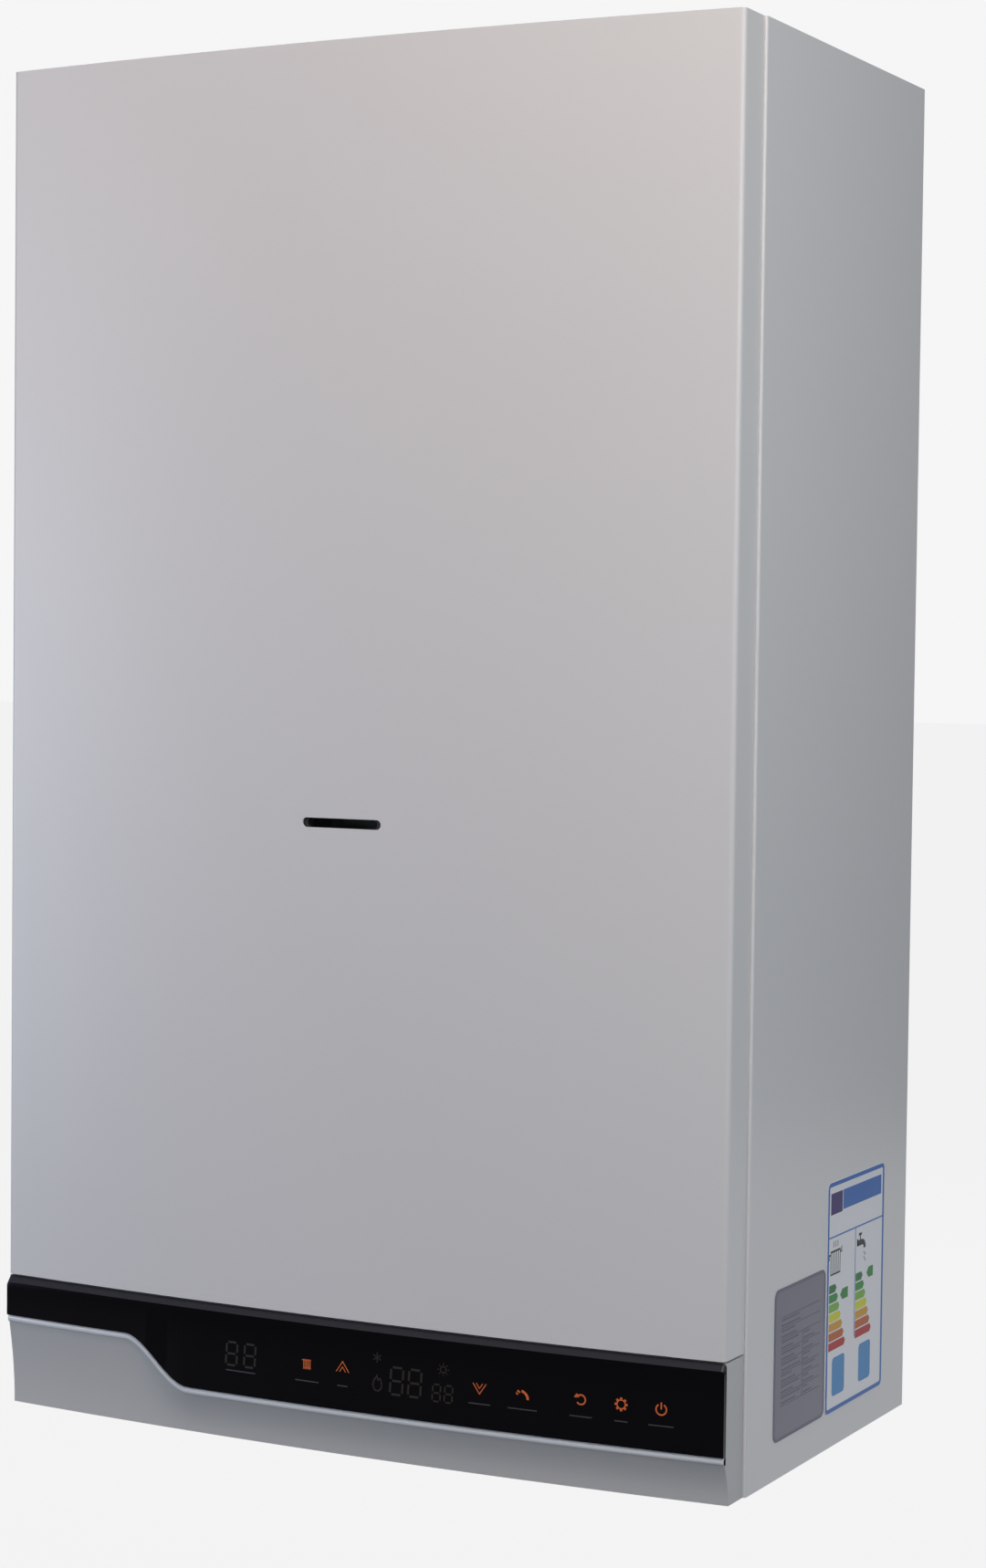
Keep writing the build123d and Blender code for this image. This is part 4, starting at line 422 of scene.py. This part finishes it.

# Bead of the housing
# The housing's front ends at the fascia in a half-round bead, moulded in one with it. It is the
# polished line of the moulding, glossier than the textured skin below it, and painted paler than
# that skin as a painted highlight.
bead_tall, bead_front, bead_middle, bead_back = 0.0038, 0.00048, -0.001, -0.0022
bead_gap, bead_end_gap = 0.00015, 0.0002
bead_steps, bead_turn, slope_reach = 212, 18, 0.0001
bead_crease = math.radians(50)
bead_end = fascia_high.x - bead_end_gap

# The bead's pale colour is a painted highlight: the plastic is the housing's own grey.
bead_painted_highlight = surface("bead_painted_highlight", (0.80, 0.81, 0.82), 0.22, tone=0.02, patch=20,
                     rough_spread=0.03, grain_scale=900, bump=0.03)
bead_section = []
for turn in range(0, 181, bead_turn):
    down = bead_tall / 2 * (1 - math.cos(math.radians(turn)))
    out = bead_middle + (bead_front - bead_middle) * math.sin(math.radians(turn))
    bead_section.append((out, down))
bead_section += [(bead_back, bead_tall), (bead_back, 0)]
bead_rings = []
for step in range(2 * bead_steps + 1):
    x = bead_end * (step / bead_steps - 1)
    slope = (swoop(x + slope_reach) - swoop(x - slope_reach)) / (2 * slope_reach)
    slant = math.hypot(1, slope)
    bead_rings.append([])
    for out, down in bead_section:
        side = min(max(x + down * slope / slant, -bead_end), bead_end)
        height = case_low + swoop(x) - bead_gap - down / slant
        bead_rings[-1].append((side, bow_y(side, out), height))
bead_mesh = bmesh.new()
skin(bead_mesh, bead_rings)
bead = mesh_piece("trim_bead", bead_mesh, bead_painted_highlight, "panel")
bead.data.shade_smooth()
bead.data.set_sharp_from_angle(angle=bead_crease)

# Touch signs and number displays
# The signs are printed on the fascia and lit from behind in orange, each above a short dim line.
# The number displays lie behind the plate. They are off and hardly show.
sign_orange, sign_glow = (0.60, 0.13, 0.035), 0.12
print_thick = 0.00005
mitre_least = 0.3
legend_height, legend_line = 0.0375, 0.6
display_x = -0.057
digit_gap_share, digit_lean = 0.75, 0.06
mm = 0.001


def thin_strokes(name, strokes, thick):
    """Flat bars of even width along lines of points, as one thin mesh in the x, y plane."""
    made = bmesh.new()
    for points, width, closed in strokes:
        count = len(points)
        sides = []
        for step, point in enumerate(points):
            before = points[step - 1] if step or closed else None
            after = points[(step + 1) % count] if step < count - 1 or closed else None
            runs = []
            if before is not None:
                runs.append((Vector(point) - Vector(before)).normalized())
            if after is not None:
                runs.append((Vector(after) - Vector(point)).normalized())
            run = sum(runs, Vector((0, 0))).normalized()
            side = Vector((-run.y, run.x)) * width / 2 / max(run.dot(runs[0]), mitre_least)
            sides.append((Vector(point) + side, Vector(point) - side))
        rings = []
        for left, right in sides:
            corners = ((left, thick), (right, thick), (right, 0), (left, 0))
            rings.append([made.verts.new((spot.x, spot.y, z)) for spot, z in corners])
        pairs = list(zip(rings, rings[1:])) + ([(rings[-1], rings[0])] if closed else [])
        for first, second in pairs:
            for near in range(4):
                far = (near + 1) % 4
                made.faces.new((first[near], first[far], second[far], second[near]))
        if not closed:
            made.faces.new(rings[0])
            made.faces.new(list(reversed(rings[-1])))
    return as_object(name, made)


def arc_points(radius, start, end, steps, centre=(0, 0)):
    """Points along an arc, angles in degrees."""
    turns = [math.radians(start + (end - start) * step / steps) for step in range(steps + 1)]
    return [(centre[0] + radius * math.cos(turn), centre[1] + radius * math.sin(turn))
            for turn in turns]


def bars(*lines):
    """Strokes from lines given in millimetres as (points, width)."""
    return [([(x * mm, y * mm) for x, y in points], width * mm, False) for points, width in lines]


def arc(radius, start, end, steps, width, centre=(0, 0), closed=False):
    """One stroke along an arc, sizes in millimetres and angles in degrees."""
    middle = (centre[0] * mm, centre[1] * mm)
    return [(arc_points(radius * mm, start, end, steps, middle), width * mm, closed)]


def rays(start, end, width, turns):
    """Straight strokes on lines through the middle, in millimetres and degrees."""
    lines = []
    for turn in turns:
        x, y = math.cos(math.radians(turn)), math.sin(math.radians(turn))
        lines.append(([(start * x, start * y), (end * x, end * y)], width))
    return bars(*lines)


def chevrons(way):
    """Two nested chevrons that start on one line and point up or down."""
    return bars(([(-3.7, -2.7 * way), (0, 2.7 * way), (3.7, -2.7 * way)], 0.45),
                ([(-1.8, -2.7 * way), (0, -0.1 * way), (1.8, -2.7 * way)], 0.4))


def digit(x, wide, tall, weight):
    """The seven bars of a number that is switched off, leaning, with gaps at the corners."""
    gap = weight * digit_gap_share
    made = []
    for y in (-tall / 2, 0, tall / 2):
        middle = x + digit_lean * y
        made.append(([(middle - wide / 2 + gap, y), (middle + wide / 2 - gap, y)], weight))
    for side in (-1, 1):
        for low in (-tall / 2, 0):
            made.append(([(x + side * wide / 2 + digit_lean * y, y)
                          for y in (low + gap, low + tall / 2 - gap)], weight))
    return made


def on_fascia(piece, x, height, material):
    """Lay a flat piece on the bowed fascia, across it and so high above the case's edge."""
    reach = bow_radius + face_out
    lean = math.asin(x / reach)
    out = Vector((math.sin(lean), -math.cos(lean), 0))
    along = Vector((math.cos(lean), math.sin(lean), 0))
    place = Vector((0, bow_centre, case_low + height)) + out * reach
    piece.matrix_world = Matrix.Translation(place) @ facing(along, Vector((0, 0, 1)), out)
    piece.data.materials.append(material)
    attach(piece, "panel")


def lit_print(name, colour, glow):
    """Printed ink with a weak light behind it."""
    made = surface(name, colour, 0.4, tone=0.25, patch=400, grain_scale=2500)
    shader = made.node_tree.nodes["Principled BSDF"]
    shader.inputs["Emission Color"].default_value = (*colour, 1)
    shader.inputs["Emission Strength"].default_value = glow
    return made


orange_ink = lit_print("orange_sign", sign_orange, sign_glow)
radiator = bars(*[([(x, -2.6), (x, 2.6)], 0.62) for x in (-1.8, -0.6, 0.6, 1.8)],
                ([(-3.0, 2.1), (2.4, 2.1)], 0.4), ([(-2.2, -1.8), (2.4, -1.8)], 0.35))
tap = arc(4.4, 78, 2, 8, 1.3, centre=(-1.4, -3.2))
tap += bars(([(-2.7, 1.2), (-1.4, 0.2)], 0.9), ([(-3.4, -0.1), (-2.4, -0.9)], 0.8))
again = arc(2.4, 128, -145, 20, 0.75)
again += bars(([(-3.4, 1.0), (-2.2, 2.5), (-0.8, 1.4)], 0.7), ([(-3.0, 1.2), (-1.2, 1.5)], 0.7))
gear = arc(2.2, 0, 345, 23, 0.65, closed=True) + rays(2.3, 3.4, 1.2, range(0, 360, 45))
power = arc(2.7, 122, 418, 20, 0.75) + bars(([(0, 0.1), (0, 3.5)], 0.75))
touch_signs = (("radiator", radiator, -0.0166, 0.0462, 14), ("up", chevrons(1), 0.0046, 0.0474, 6),
               ("down", chevrons(-1), 0.0829, 0.0452, 12), ("tap", tap, 0.1065, 0.0456, 16),
               ("again", again, 0.138, 0.0459, 12), ("gear", gear, 0.1593, 0.0459, 7),
               ("power", power, 0.1802, 0.0456, 13))
for name, strokes, x, height, wide in touch_signs:
    on_fascia(thin_strokes("sign_" + name, strokes, print_thick), x, height, orange_ink)

dim_ink = lit_print("dim_legend", (0.060, 0.055, 0.060), 0.0)
legends = [(display_x, 18)] + [(x, wide) for name, strokes, x, height, wide in touch_signs]
for count, (x, wide) in enumerate(legends):
    line = bars(([(-wide / 2, 0), (wide / 2, 0)], legend_line))
    on_fascia(thin_strokes(f"legend_{count}", line, print_thick), x, legend_height, dim_ink)

off_ink = lit_print("display_off", (0.024, 0.019, 0.012), 0.0)
displays = (("left", 5.6, 6.6, 12, 1.1, display_x, 0.0463),
            ("middle", 5.2, 7.0, 13.8, 1.2, 0.0413, 0.0436),
            ("small", 3.4, 4.4, 8.6, 0.9, 0.0622, 0.0403))
for name, half, wide, tall, weight, x, height in displays:
    digits = bars(*digit(-half, wide, tall, weight), *digit(half, wide, tall, weight))
    on_fascia(thin_strokes("display_" + name, digits, print_thick), x, height, off_ink)

faint_ink = lit_print("display_faint", (0.024, 0.018, 0.012), 0.0)
flame = bars(([(-2.6, -1.0), (-1.9, 1.6), (-0.2, 4.0), (0.3, 1.8), (1.6, 2.6), (2.5, 0),
               (2.2, -2.4), (0.6, -3.8), (-1.4, -3.6), (-2.6, -1.0)], 0.8))
sun = arc(1.6, 0, 330, 11, 0.7, closed=True) + rays(2.4, 3.3, 0.6, range(0, 360, 45))
frost = rays(-2.6, 2.6, 0.6, (30, 90, 150))
faint_signs = (("flame", flame, 0.0250, 0.0412), ("sun", sun, 0.0626, 0.0525),
               ("frost", frost, 0.0248, 0.0545))
for name, strokes, x, height in faint_signs:
    on_fascia(thin_strokes("display_" + name, strokes, print_thick), x, height, faint_ink)

# Information label
# A printed white film is stuck low on the right side panel. It has a blue border and header, and a
# column for heating and one for hot water, each with a ladder of coloured steps and a pointer.
label_low, label_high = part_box("info_label")
label_wide, label_tall = label_high.y - label_low.y, label_high.z - label_low.z
ink_thick = 0.00005
film_thick = label_high.x - label_low.x - ink_thick
label_corner, blue_line, blue_corner, print_corner = 0.003, 0.0022, 0.0022, 0.0002
header_box, square_box = (0.0215, 0.1048, 0.0775, 0.1152), (0.0042, 0.1040, 0.0205, 0.1152)
rule_margin, rule_height, column_x, column_low = 1, 92.2, 40.2, 34
columns = (0.0032, 0.0412)
step_low, step_pitch, step_tall, step_point = 0.0629, 0.00505, 0.0043, 0.0019
step_wide, step_growth = 0.0102, 0.00225
pointer_places = ((0.019, 0.030, 1), (0.0573, 0.0668, 0))
pointer_half, pointer_point = 0.0028, 0.003
box_places, box_low, box_high = ((0.0088, 0.0265), (0.0472, 0.0644)), 0.008, 0.0283
box_corner, corner_steps = 0.0025, 6


def flat_shapes(name, outlines, thick):
    """Flat shapes, each filled inside its outline, as one thin mesh in the x, y plane."""
    made = bmesh.new()
    for outline in outlines:
        top = [made.verts.new((x, y, thick)) for x, y in outline]
        low = [made.verts.new((x, y, 0)) for x, y in outline]
        made.faces.new(top)
        made.faces.new(list(reversed(low)))
        for step in range(len(outline)):
            after = (step + 1) % len(outline)
            made.faces.new((top[step], low[step], low[after], top[after]))
    return as_object(name, made)


def round_box(left, low, right, high, corner):
    """The outline of a box with round corners."""
    outline = []
    for x, y, start in ((right - corner, high - corner, 0), (left + corner, high - corner, 90),
                        (left + corner, low + corner, 180), (right - corner, low + corner, 270)):
        outline += arc_points(corner, start, start + 90, corner_steps, (x, y))
    return outline


def edge_line(wide, tall, corner, width):
    """One stroke of even width along the edge of a film."""
    inset = width / 2
    return [(round_box(inset, inset, wide - inset, tall - inset, corner), width, True)]


def on_side(piece, node, lift, material):
    """Lay a flat piece on the side panel. Its x runs back from the film's front edge, its y up."""
    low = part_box(node)[0]
    turn = facing(Vector((0, 1, 0)), Vector((0, 0, 1)), Vector((1, 0, 0)))
    piece.matrix_world = Matrix.Translation((low.x + lift, low.y, low.z)) @ turn
    piece.data.materials.append(material)
    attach(piece, "case")


def on_label(piece, material):
    """Lay print on the information label."""
    on_side(piece, "info_label", film_thick, material)


def ink(name, colour):
    """Matt printing ink."""
    return surface(name, colour, 0.45, tone=0.05, patch=60, grain_scale=1500, bump=0.04)


label_paper = surface("label_paper", (0.80, 0.81, 0.83), 0.3, tone=0.02, grain_scale=900,
                      bump=0.05)
info_film = flat_shapes("info_film", [round_box(0, 0, label_wide, label_tall, label_corner)],
                        film_thick)
on_side(info_film, "info_label", 0, label_paper)
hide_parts("info_label")

blue_ink = ink("blue_ink", (0.045, 0.17, 0.52))
border = edge_line(label_wide, label_tall, blue_corner, blue_line)
border += bars(([(rule_margin, rule_height), (label_wide / mm - rule_margin, rule_height)], 0.8),
               ([(column_x, rule_height), (column_x, column_low)], 0.7))
on_label(thin_strokes("label_border", border, ink_thick), blue_ink)
on_label(flat_shapes("label_header", [round_box(*header_box, print_corner)], ink_thick), blue_ink)
on_label(flat_shapes("label_square", [round_box(*square_box, print_corner)], ink_thick),
         ink("dark_blue_ink", (0.05, 0.03, 0.17)))

ladder_colours = ((0.012, 0.20, 0.05), (0.025, 0.30, 0.045), (0.22, 0.50, 0.06),
                  (0.74, 0.74, 0.02), (0.72, 0.36, 0.03), (0.58, 0.13, 0.02), (0.52, 0.02, 0.02))
for count, colour in enumerate(ladder_colours):
    low = step_low - count * step_pitch
    middle, high = low + step_tall / 2, low + step_tall
    steps = []
    for left in columns:
        tip = left + step_wide + step_growth * count
        neck = tip - step_point
        steps.append([(left, low), (neck, low), (tip, middle), (neck, high), (left, high)])
    on_label(flat_shapes(f"label_step_{count}", steps, ink_thick),
             ink(f"step_ink_{count}", colour))
pointers = []
for left, right, row in pointer_places:
    middle = step_low - row * step_pitch + step_tall / 2
    low, high, neck = middle - pointer_half, middle + pointer_half, left + pointer_point
    pointers.append([(left, middle), (neck, low), (right, low), (right, high), (neck, high)])
on_label(flat_shapes("label_pointers", pointers, ink_thick),
         ink("pointer_ink", (0.03, 0.27, 0.05)))
boxes = [round_box(left, box_low, right, box_high, box_corner) for left, right in box_places]
on_label(flat_shapes("label_boxes", boxes, ink_thick), ink("sky_ink", (0.07, 0.30, 0.62)))

heater = bars(([(4.5, 84.6), (18.5, 84.6)], 1.0), ([(4.5, 72.6), (18.5, 72.6)], 0.8),
              ([(2.6, 80.5), (2.6, 83.2), (4.5, 83.2)], 0.9),
              ([(18.5, 83.2), (20.2, 83.2), (20.2, 85.8)], 0.9),
              *[([(5.0 + 2.6 * rib, 72.4), (5.0 + 2.6 * rib, 84.8)], 0.7) for rib in range(6)],
              *[([(x, 86.6), (x + 0.5, 88.2), (x, 89.8)], 0.6) for x in (8.4, 11.4, 14.4)])
tap_sign = bars(([(43.0, 83.0), (50.5, 83.0)], 3.0), ([(45.2, 87.6), (49.4, 87.6)], 1.3),
                ([(47.3, 84.0), (47.3, 87.4)], 1.2), ([(43.4, 81.6), (43.4, 85.4)], 1.6))
tap_sign += arc(3.6, 90, 0, 8, 2.8, centre=(50.3, 79.4))
tap_sign += bars(*[([(x, y), (x, y - 1.4)], 0.6)
                   for x, y in ((52.9, 77.6), (54.8, 76.6), (53.3, 74.8), (54.9, 73.4))])
on_label(thin_strokes("label_signs", heater + tap_sign, ink_thick),
         ink("black_ink", (0.03, 0.035, 0.03)))

# Rating plate
# A silver film with a darker border is stuck beside the label. It carries a ruled table with rows
# of short dashes, printed in grey.
plate_low, plate_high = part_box("rating_plate")
plate_wide, plate_tall = plate_high.y - plate_low.y, plate_high.z - plate_low.z
plate_corner, plate_line, plate_line_corner = 0.0045, 0.0016, 0.0037
table_left, table_middle, table_right = 8.5, 37.0, 60.5
row_low, row_pitch, rows_per_rule, split_rows = 18.6, 2.8, 2, 12
row_lengths = (0.72, 0.95, 0.60, 0.88, 0.70, 0.52, 0.93, 0.80,
               0.64, 0.90, 0.58, 0.84, 0.74, 0.66, 0.92, 0.86)
rule_wide, dash_wide, dash_inset, dash_margin, right_inset, both_shares = 0.3, 0.9, 0.6, 1, 1.4, 1.2


def on_plate(piece, material):
    """Lay print on the rating plate."""
    on_side(piece, "rating_plate", film_thick, material)


silver_film = surface("silver_film", (0.215, 0.21, 0.265), 0.38, metallic=0.25, tone=0.06,
                      grain_scale=700, bump=0.05)
rating_film = flat_shapes("rating_film", [round_box(0, 0, plate_wide, plate_tall, plate_corner)],
                          film_thick)
on_side(rating_film, "rating_plate", 0, silver_film)
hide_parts("rating_plate")
border = edge_line(plate_wide, plate_tall, plate_line_corner, plate_line)
on_plate(thin_strokes("rating_border", border, ink_thick), ink("border_ink", (0.17, 0.165, 0.22)))
rules = []
for row in range(-1, len(row_lengths), rows_per_rule):
    height = row_low + row_pitch * (row + 0.5)
    rules.append(([(table_left, height), (table_right, height)], rule_wide))
rules.append(([(table_middle, row_low - row_pitch / 2),
               (table_middle, row_low + row_pitch * (split_rows - 0.5))], rule_wide))
dashes = []
for row, share in enumerate(row_lengths):
    height = row_low + row_pitch * row
    end = table_left + share * (table_middle - table_left - dash_margin)
    dashes.append(([(table_left + dash_inset, height), (end, height)], dash_wide))
    if row < split_rows:
        start = table_middle + right_inset
        end = start + (both_shares - share) * (table_right - table_middle)
        dashes.append(([(start, height), (end, height)], dash_wide))
on_plate(thin_strokes("rating_rules", bars(*rules), ink_thick),
         ink("grey_ink", (0.10, 0.095, 0.13)))
on_plate(thin_strokes("rating_dashes", bars(*dashes), ink_thick),
         ink("dash_ink", (0.14, 0.135, 0.18)))

# Hanging bracket, back frame, top and bottom plates
# These are galvanised steel sheet, cut and folded, with the dull patchy bloom of a zinc coat. The
# frame hangs on the hooks of the bracket, and the plates close the case above and below.
galvanised = surface("galvanised", (0.56, 0.57, 0.58), 0.42, metallic=0.9, tone=0.25, patch=45,
                     rough_spread=0.2, grain_scale=220, bump=0.05)
dress(galvanised, "wall_bracket", "chassis_frame", "top_plate", "bottom_plate")

# Sealed chamber, its lid, the combustion chamber, the hood and the fan housing
# These are aluminised steel sheet, pressed or folded, with a fine rolling grain along its length.
# The sheet round the fire is browned by its heat.
aluminised = surface("aluminised", (0.54, 0.54, 0.525), 0.50, metallic=0.9, tone=0.16, patch=20,
                     rough_spread=0.14, grain_scale=500, stretch=(1, 1, 0.08), bump=0.05)
dress(aluminised, "sealed_chamber", "chamber_cover", "flue_hood", "fan_housing")
heated_sheet = surface("heated_sheet", (0.48, 0.43, 0.36), 0.45, metallic=0.9, tone=0.35,
                       patch=12, rough_spread=0.2, grain_scale=400, stretch=(1, 1, 0.1),
                       bump=0.06)
dress(heated_sheet, "combustion_chamber")

# Sight glass
# A small pane of heat-proof glass sits in the frame on the chamber's lid, in line with the slot
# in the front cover.
glass_clear_share = 0.85
sight_glass = surface("sight_glass", (0.75, 0.80, 0.80), 0.05, tone=0.02, rough_spread=0.02,
                      bump=0.0)
glass_shader = sight_glass.node_tree.nodes["Principled BSDF"]
glass_shader.inputs["Transmission Weight"].default_value = glass_clear_share
dress(sight_glass, "chamber_glass")

# Screws
# Steel screws with low round heads, plated with yellow zinc. Six hold the lid of the chamber and
# four the flue adapter.
zinc_screw = surface("zinc_screw", (0.66, 0.60, 0.42), 0.3, metallic=1.0, tone=0.2, patch=300,
                     grain_scale=1500)
dress(zinc_screw, "case_screws")

# Castings: flue adapter and gas valve in aluminium, pump and fan motor in painted iron
# The first two are left as cast and the others are sprayed dark grey. Their skins show the fine
# sandy grain of the mould.
cast_alloy = surface("cast_alloy", (0.60, 0.61, 0.62), 0.5, metallic=0.85, tone=0.15, patch=60,
                     grain_scale=900, bump=0.35, bump_depth=0.0003)
dress(cast_alloy, "flue_adapter", "gas_valve")
painted_iron = surface("painted_iron", (0.075, 0.08, 0.088), 0.5, metallic=0.2, tone=0.3,
                       patch=50, grain_scale=700, bump=0.45, bump_depth=0.0004)
dress(painted_iron, "pump_housing", "pump_motor", "fan_motor")

# Copper heat exchanger and pipes
# The exchanger is a stack of copper fins on water tubes, with a header at each end. It and the
# bent pipes are browned a little by heat and handling.
copper = surface("copper", (0.72, 0.34, 0.20), 0.28, metallic=1.0, tone=0.45, patch=30,
                 rough_spread=0.25, grain_scale=350, bump=0.04)
dress(copper, "heat_exchanger", "flow_pipe", "return_pipe", "hot_water_pipe", "gas_pipe")

# Brass water blocks, valves and taps
# These are hot-pressed brass with a lightly blasted skin. The blocks stand on both sides of the
# plate heat exchanger and carry the valves.
brass = surface("brass", (0.70, 0.50, 0.22), 0.36, metallic=1.0, tone=0.25, patch=60,
                rough_spread=0.15, grain_scale=800, bump=0.2)
dress(brass, "diverter_block", "return_block", "cold_water_pipe", "air_vent", "safety_valve",
      "filling_tap", "diverter_spool")

# Burner, manifold and plate heat exchanger
# The burner is slotted stainless blades between two rails, fed by a square bar with an injector
# for each. The exchanger is a brazed pack of plates. The steel is straw coloured near the flames.
stainless = surface("stainless", (0.56, 0.54, 0.50), 0.3, metallic=1.0, tone=0.2, patch=25,
                    rough_spread=0.15, grain_scale=450, stretch=(0.1, 1, 1), bump=0.05)
dress(stainless, "burner", "gas_manifold", "plate_heat_exchanger")

# Expansion vessel
# Two flat steel shells are pressed and joined at a rim, and the vessel is dipped in glossy red
# paint.
vessel_red = surface("vessel_red", (0.42, 0.035, 0.025), 0.35, tone=0.12, patch=10,
                     grain_scale=350, bump=0.15, coat=0.2)
dress(vessel_red, "expansion_vessel")

# Ceramic fibre boards and porcelain sleeves
# Soft white boards of pressed fibre line the combustion chamber, and glazed sleeves carry the
# electrode wires through its front.
fibre = surface("ceramic_fibre", (0.80, 0.77, 0.70), 0.95, tone=0.12, patch=60, grain_scale=500,
                bump=0.6, bump_depth=0.0006)
dress(fibre, "ceramic_boards")
porcelain = surface("porcelain", (0.80, 0.79, 0.75), 0.15, tone=0.04, patch=100, bump=0.02,
                    coat=0.4)
dress(porcelain, "electrodes")

# Fan wheel and pump rotor
# The fan's wheel has forward-curved blades between a disc and a ring, pressed from aluminium
# sheet. The pump's rotor is a dark plastic moulding on its shaft.
wheel_sheet = surface("wheel_sheet", (0.68, 0.68, 0.69), 0.3, metallic=1.0, tone=0.1, patch=60,
                      grain_scale=500)
dress(wheel_sheet, "fan_impeller")
rotor_plastic = surface("rotor_plastic", (0.08, 0.08, 0.085), 0.4, tone=0.1, patch=80,
                        grain_scale=900, bump=0.1)
dress(rotor_plastic, "pump_rotor")

# Small black mouldings
# The diverter's motor, the pressure switch, the flow sensor with its turbine, the lid of the
# electronics and the gauge with its pointer are of the same black plastic as the slot's frame.
dress(black_plastic, "diverter_motor", "pressure_switch", "flow_sensor", "flow_turbine",
      "electronics_cover", "gauge_pointer", "pressure_gauge")

# Gauge dial
# A white printed disc lies in the gauge's cup behind the pointer, with ticks, plain numbers and a
# green band for the working pressure. It is read from below.
dial_centre = Vector((-0.034, -0.118, -0.649))
dial_radius, dial_hole, dial_thick, dial_points = 0.0172, 0.0022, 0.0001, 48
dial_turn = facing((1, 0, 0), (0, -1, 0), (0, 0, -1))
tick_count, tick_start, tick_pitch, ticks_per_number = 17, -30, 15, 4
tick_reach, tick_long, tick_short, tick_wide = 15.8, 2.8, 1.6, 0.6
number_reach, number_wide = 10.6, 0.5
band_radius, band_start, band_end, band_steps, band_wide = 16.4, -165, -210, 12, 0.9

dial_white = surface("dial_white", (0.82, 0.82, 0.80), 0.4, tone=0.02, grain_scale=900, bump=0.03)
dial_mesh = bmesh.new()
dial_rings = []
for radius, depth in ((dial_hole, 0), (dial_hole, dial_thick), (dial_radius, dial_thick),
                      (dial_radius, 0)):
    circle = arc_points(radius, 0, 360 - 360 / dial_points, dial_points - 1)
    dial_rings.append([dial_mesh.verts.new((x, y, depth)) for x, y in circle])
for first, second in zip(dial_rings, dial_rings[1:] + dial_rings[:1]):
    for step in range(dial_points):
        after = (step + 1) % dial_points
        dial_mesh.faces.new((first[step], first[after], second[after], second[step]))
dial = as_object("gauge_dial", dial_mesh)


def on_dial(piece, lift, material):
    """Lay a flat piece in the gauge's cup, facing down, with its y to the front of the boiler."""
    piece.matrix_world = Matrix.Translation(dial_centre + Vector((0, 0, -lift))) @ dial_turn
    piece.data.materials.append(material)
    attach(piece, "case")


on_dial(dial, 0, dial_white)
number_lines = ([(-1, -1.6), (1, -1.6), (1, 1.6), (-1, 1.6), (-1, -1.6)],
                [(-0.6, 1.0), (0.2, 1.6), (0.2, -1.6)],
                [(-1, 1.6), (1, 1.6), (1, 0), (-1, 0), (-1, -1.6), (1, -1.6)],
                [(-1, 1.6), (1, 1.6), (1, 0), (-0.4, 0), (1, 0), (1, -1.6), (-1, -1.6)],
                [(0.6, -1.6), (0.6, 1.6), (-1.1, -0.5), (1.2, -0.5)])
ticks = []
for count in range(tick_count):
    turn = tick_start - tick_pitch * count
    numbered = count % ticks_per_number == 0
    ticks += rays(tick_reach, tick_reach - (tick_long if numbered else tick_short), tick_wide,
                  (turn,))
    if numbered:
        number_x = number_reach * math.cos(math.radians(turn))
        number_y = number_reach * math.sin(math.radians(turn))
        line = number_lines[-1 - count // ticks_per_number]
        ticks += bars(([(number_x + x, number_y + y) for x, y in line], number_wide))
on_dial(thin_strokes("gauge_ticks", ticks, ink_thick), dial_thick,
        ink("dial_ink", (0.02, 0.02, 0.02)))
band = arc(band_radius, band_start, band_end, band_steps, band_wide)
on_dial(thin_strokes("gauge_band", band, ink_thick), dial_thick,
        ink("band_ink", (0.03, 0.30, 0.06)))

# Circuit boards
# Green boards of glass fibre under a glossy solder mask. The display board is sprung to the curve
# of the fascia, and the main board stands on four posts in the housing.
board_green = surface("board_green", (0.02, 0.13, 0.055), 0.25, tone=0.3, patch=160,
                      grain_scale=1400, bump=0.1, coat=0.3)
dress(board_green, "display_board", "main_board")

# Hose, cable grommet and sensing tubes
# The vessel's hose and the grommet are black rubber. The two tubes from the pressure switch to the
# fan housing are red silicone, pushed onto their spigots.
black_rubber = surface("black_rubber", (0.025, 0.025, 0.026), 0.7, tone=0.2, patch=80,
                       grain_scale=900, bump=0.2)
dress(black_rubber, "vessel_hose", "cable_grommet")
red_silicone = surface("red_silicone", (0.42, 0.07, 0.035), 0.4, tone=0.1, patch=80,
                       grain_scale=900, bump=0.1)
dress(red_silicone, "sensing_tubes")

# Knobs
# Each knob is a plastic moulding pushed onto its spindle: red on the safety valve, blue on the
# filling tap. The cap of the air vent is of the blue plastic too.
red_knob = surface("red_knob", (0.50, 0.02, 0.015), 0.35, tone=0.05, patch=80, grain_scale=1100,
                   bump=0.1)
dress(red_knob, "safety_valve_knob")
blue_knob = surface("blue_knob", (0.02, 0.08, 0.33), 0.35, tone=0.05, patch=80, grain_scale=1100,
                    bump=0.1)
dress(blue_knob, "filling_knob", "vent_cap")
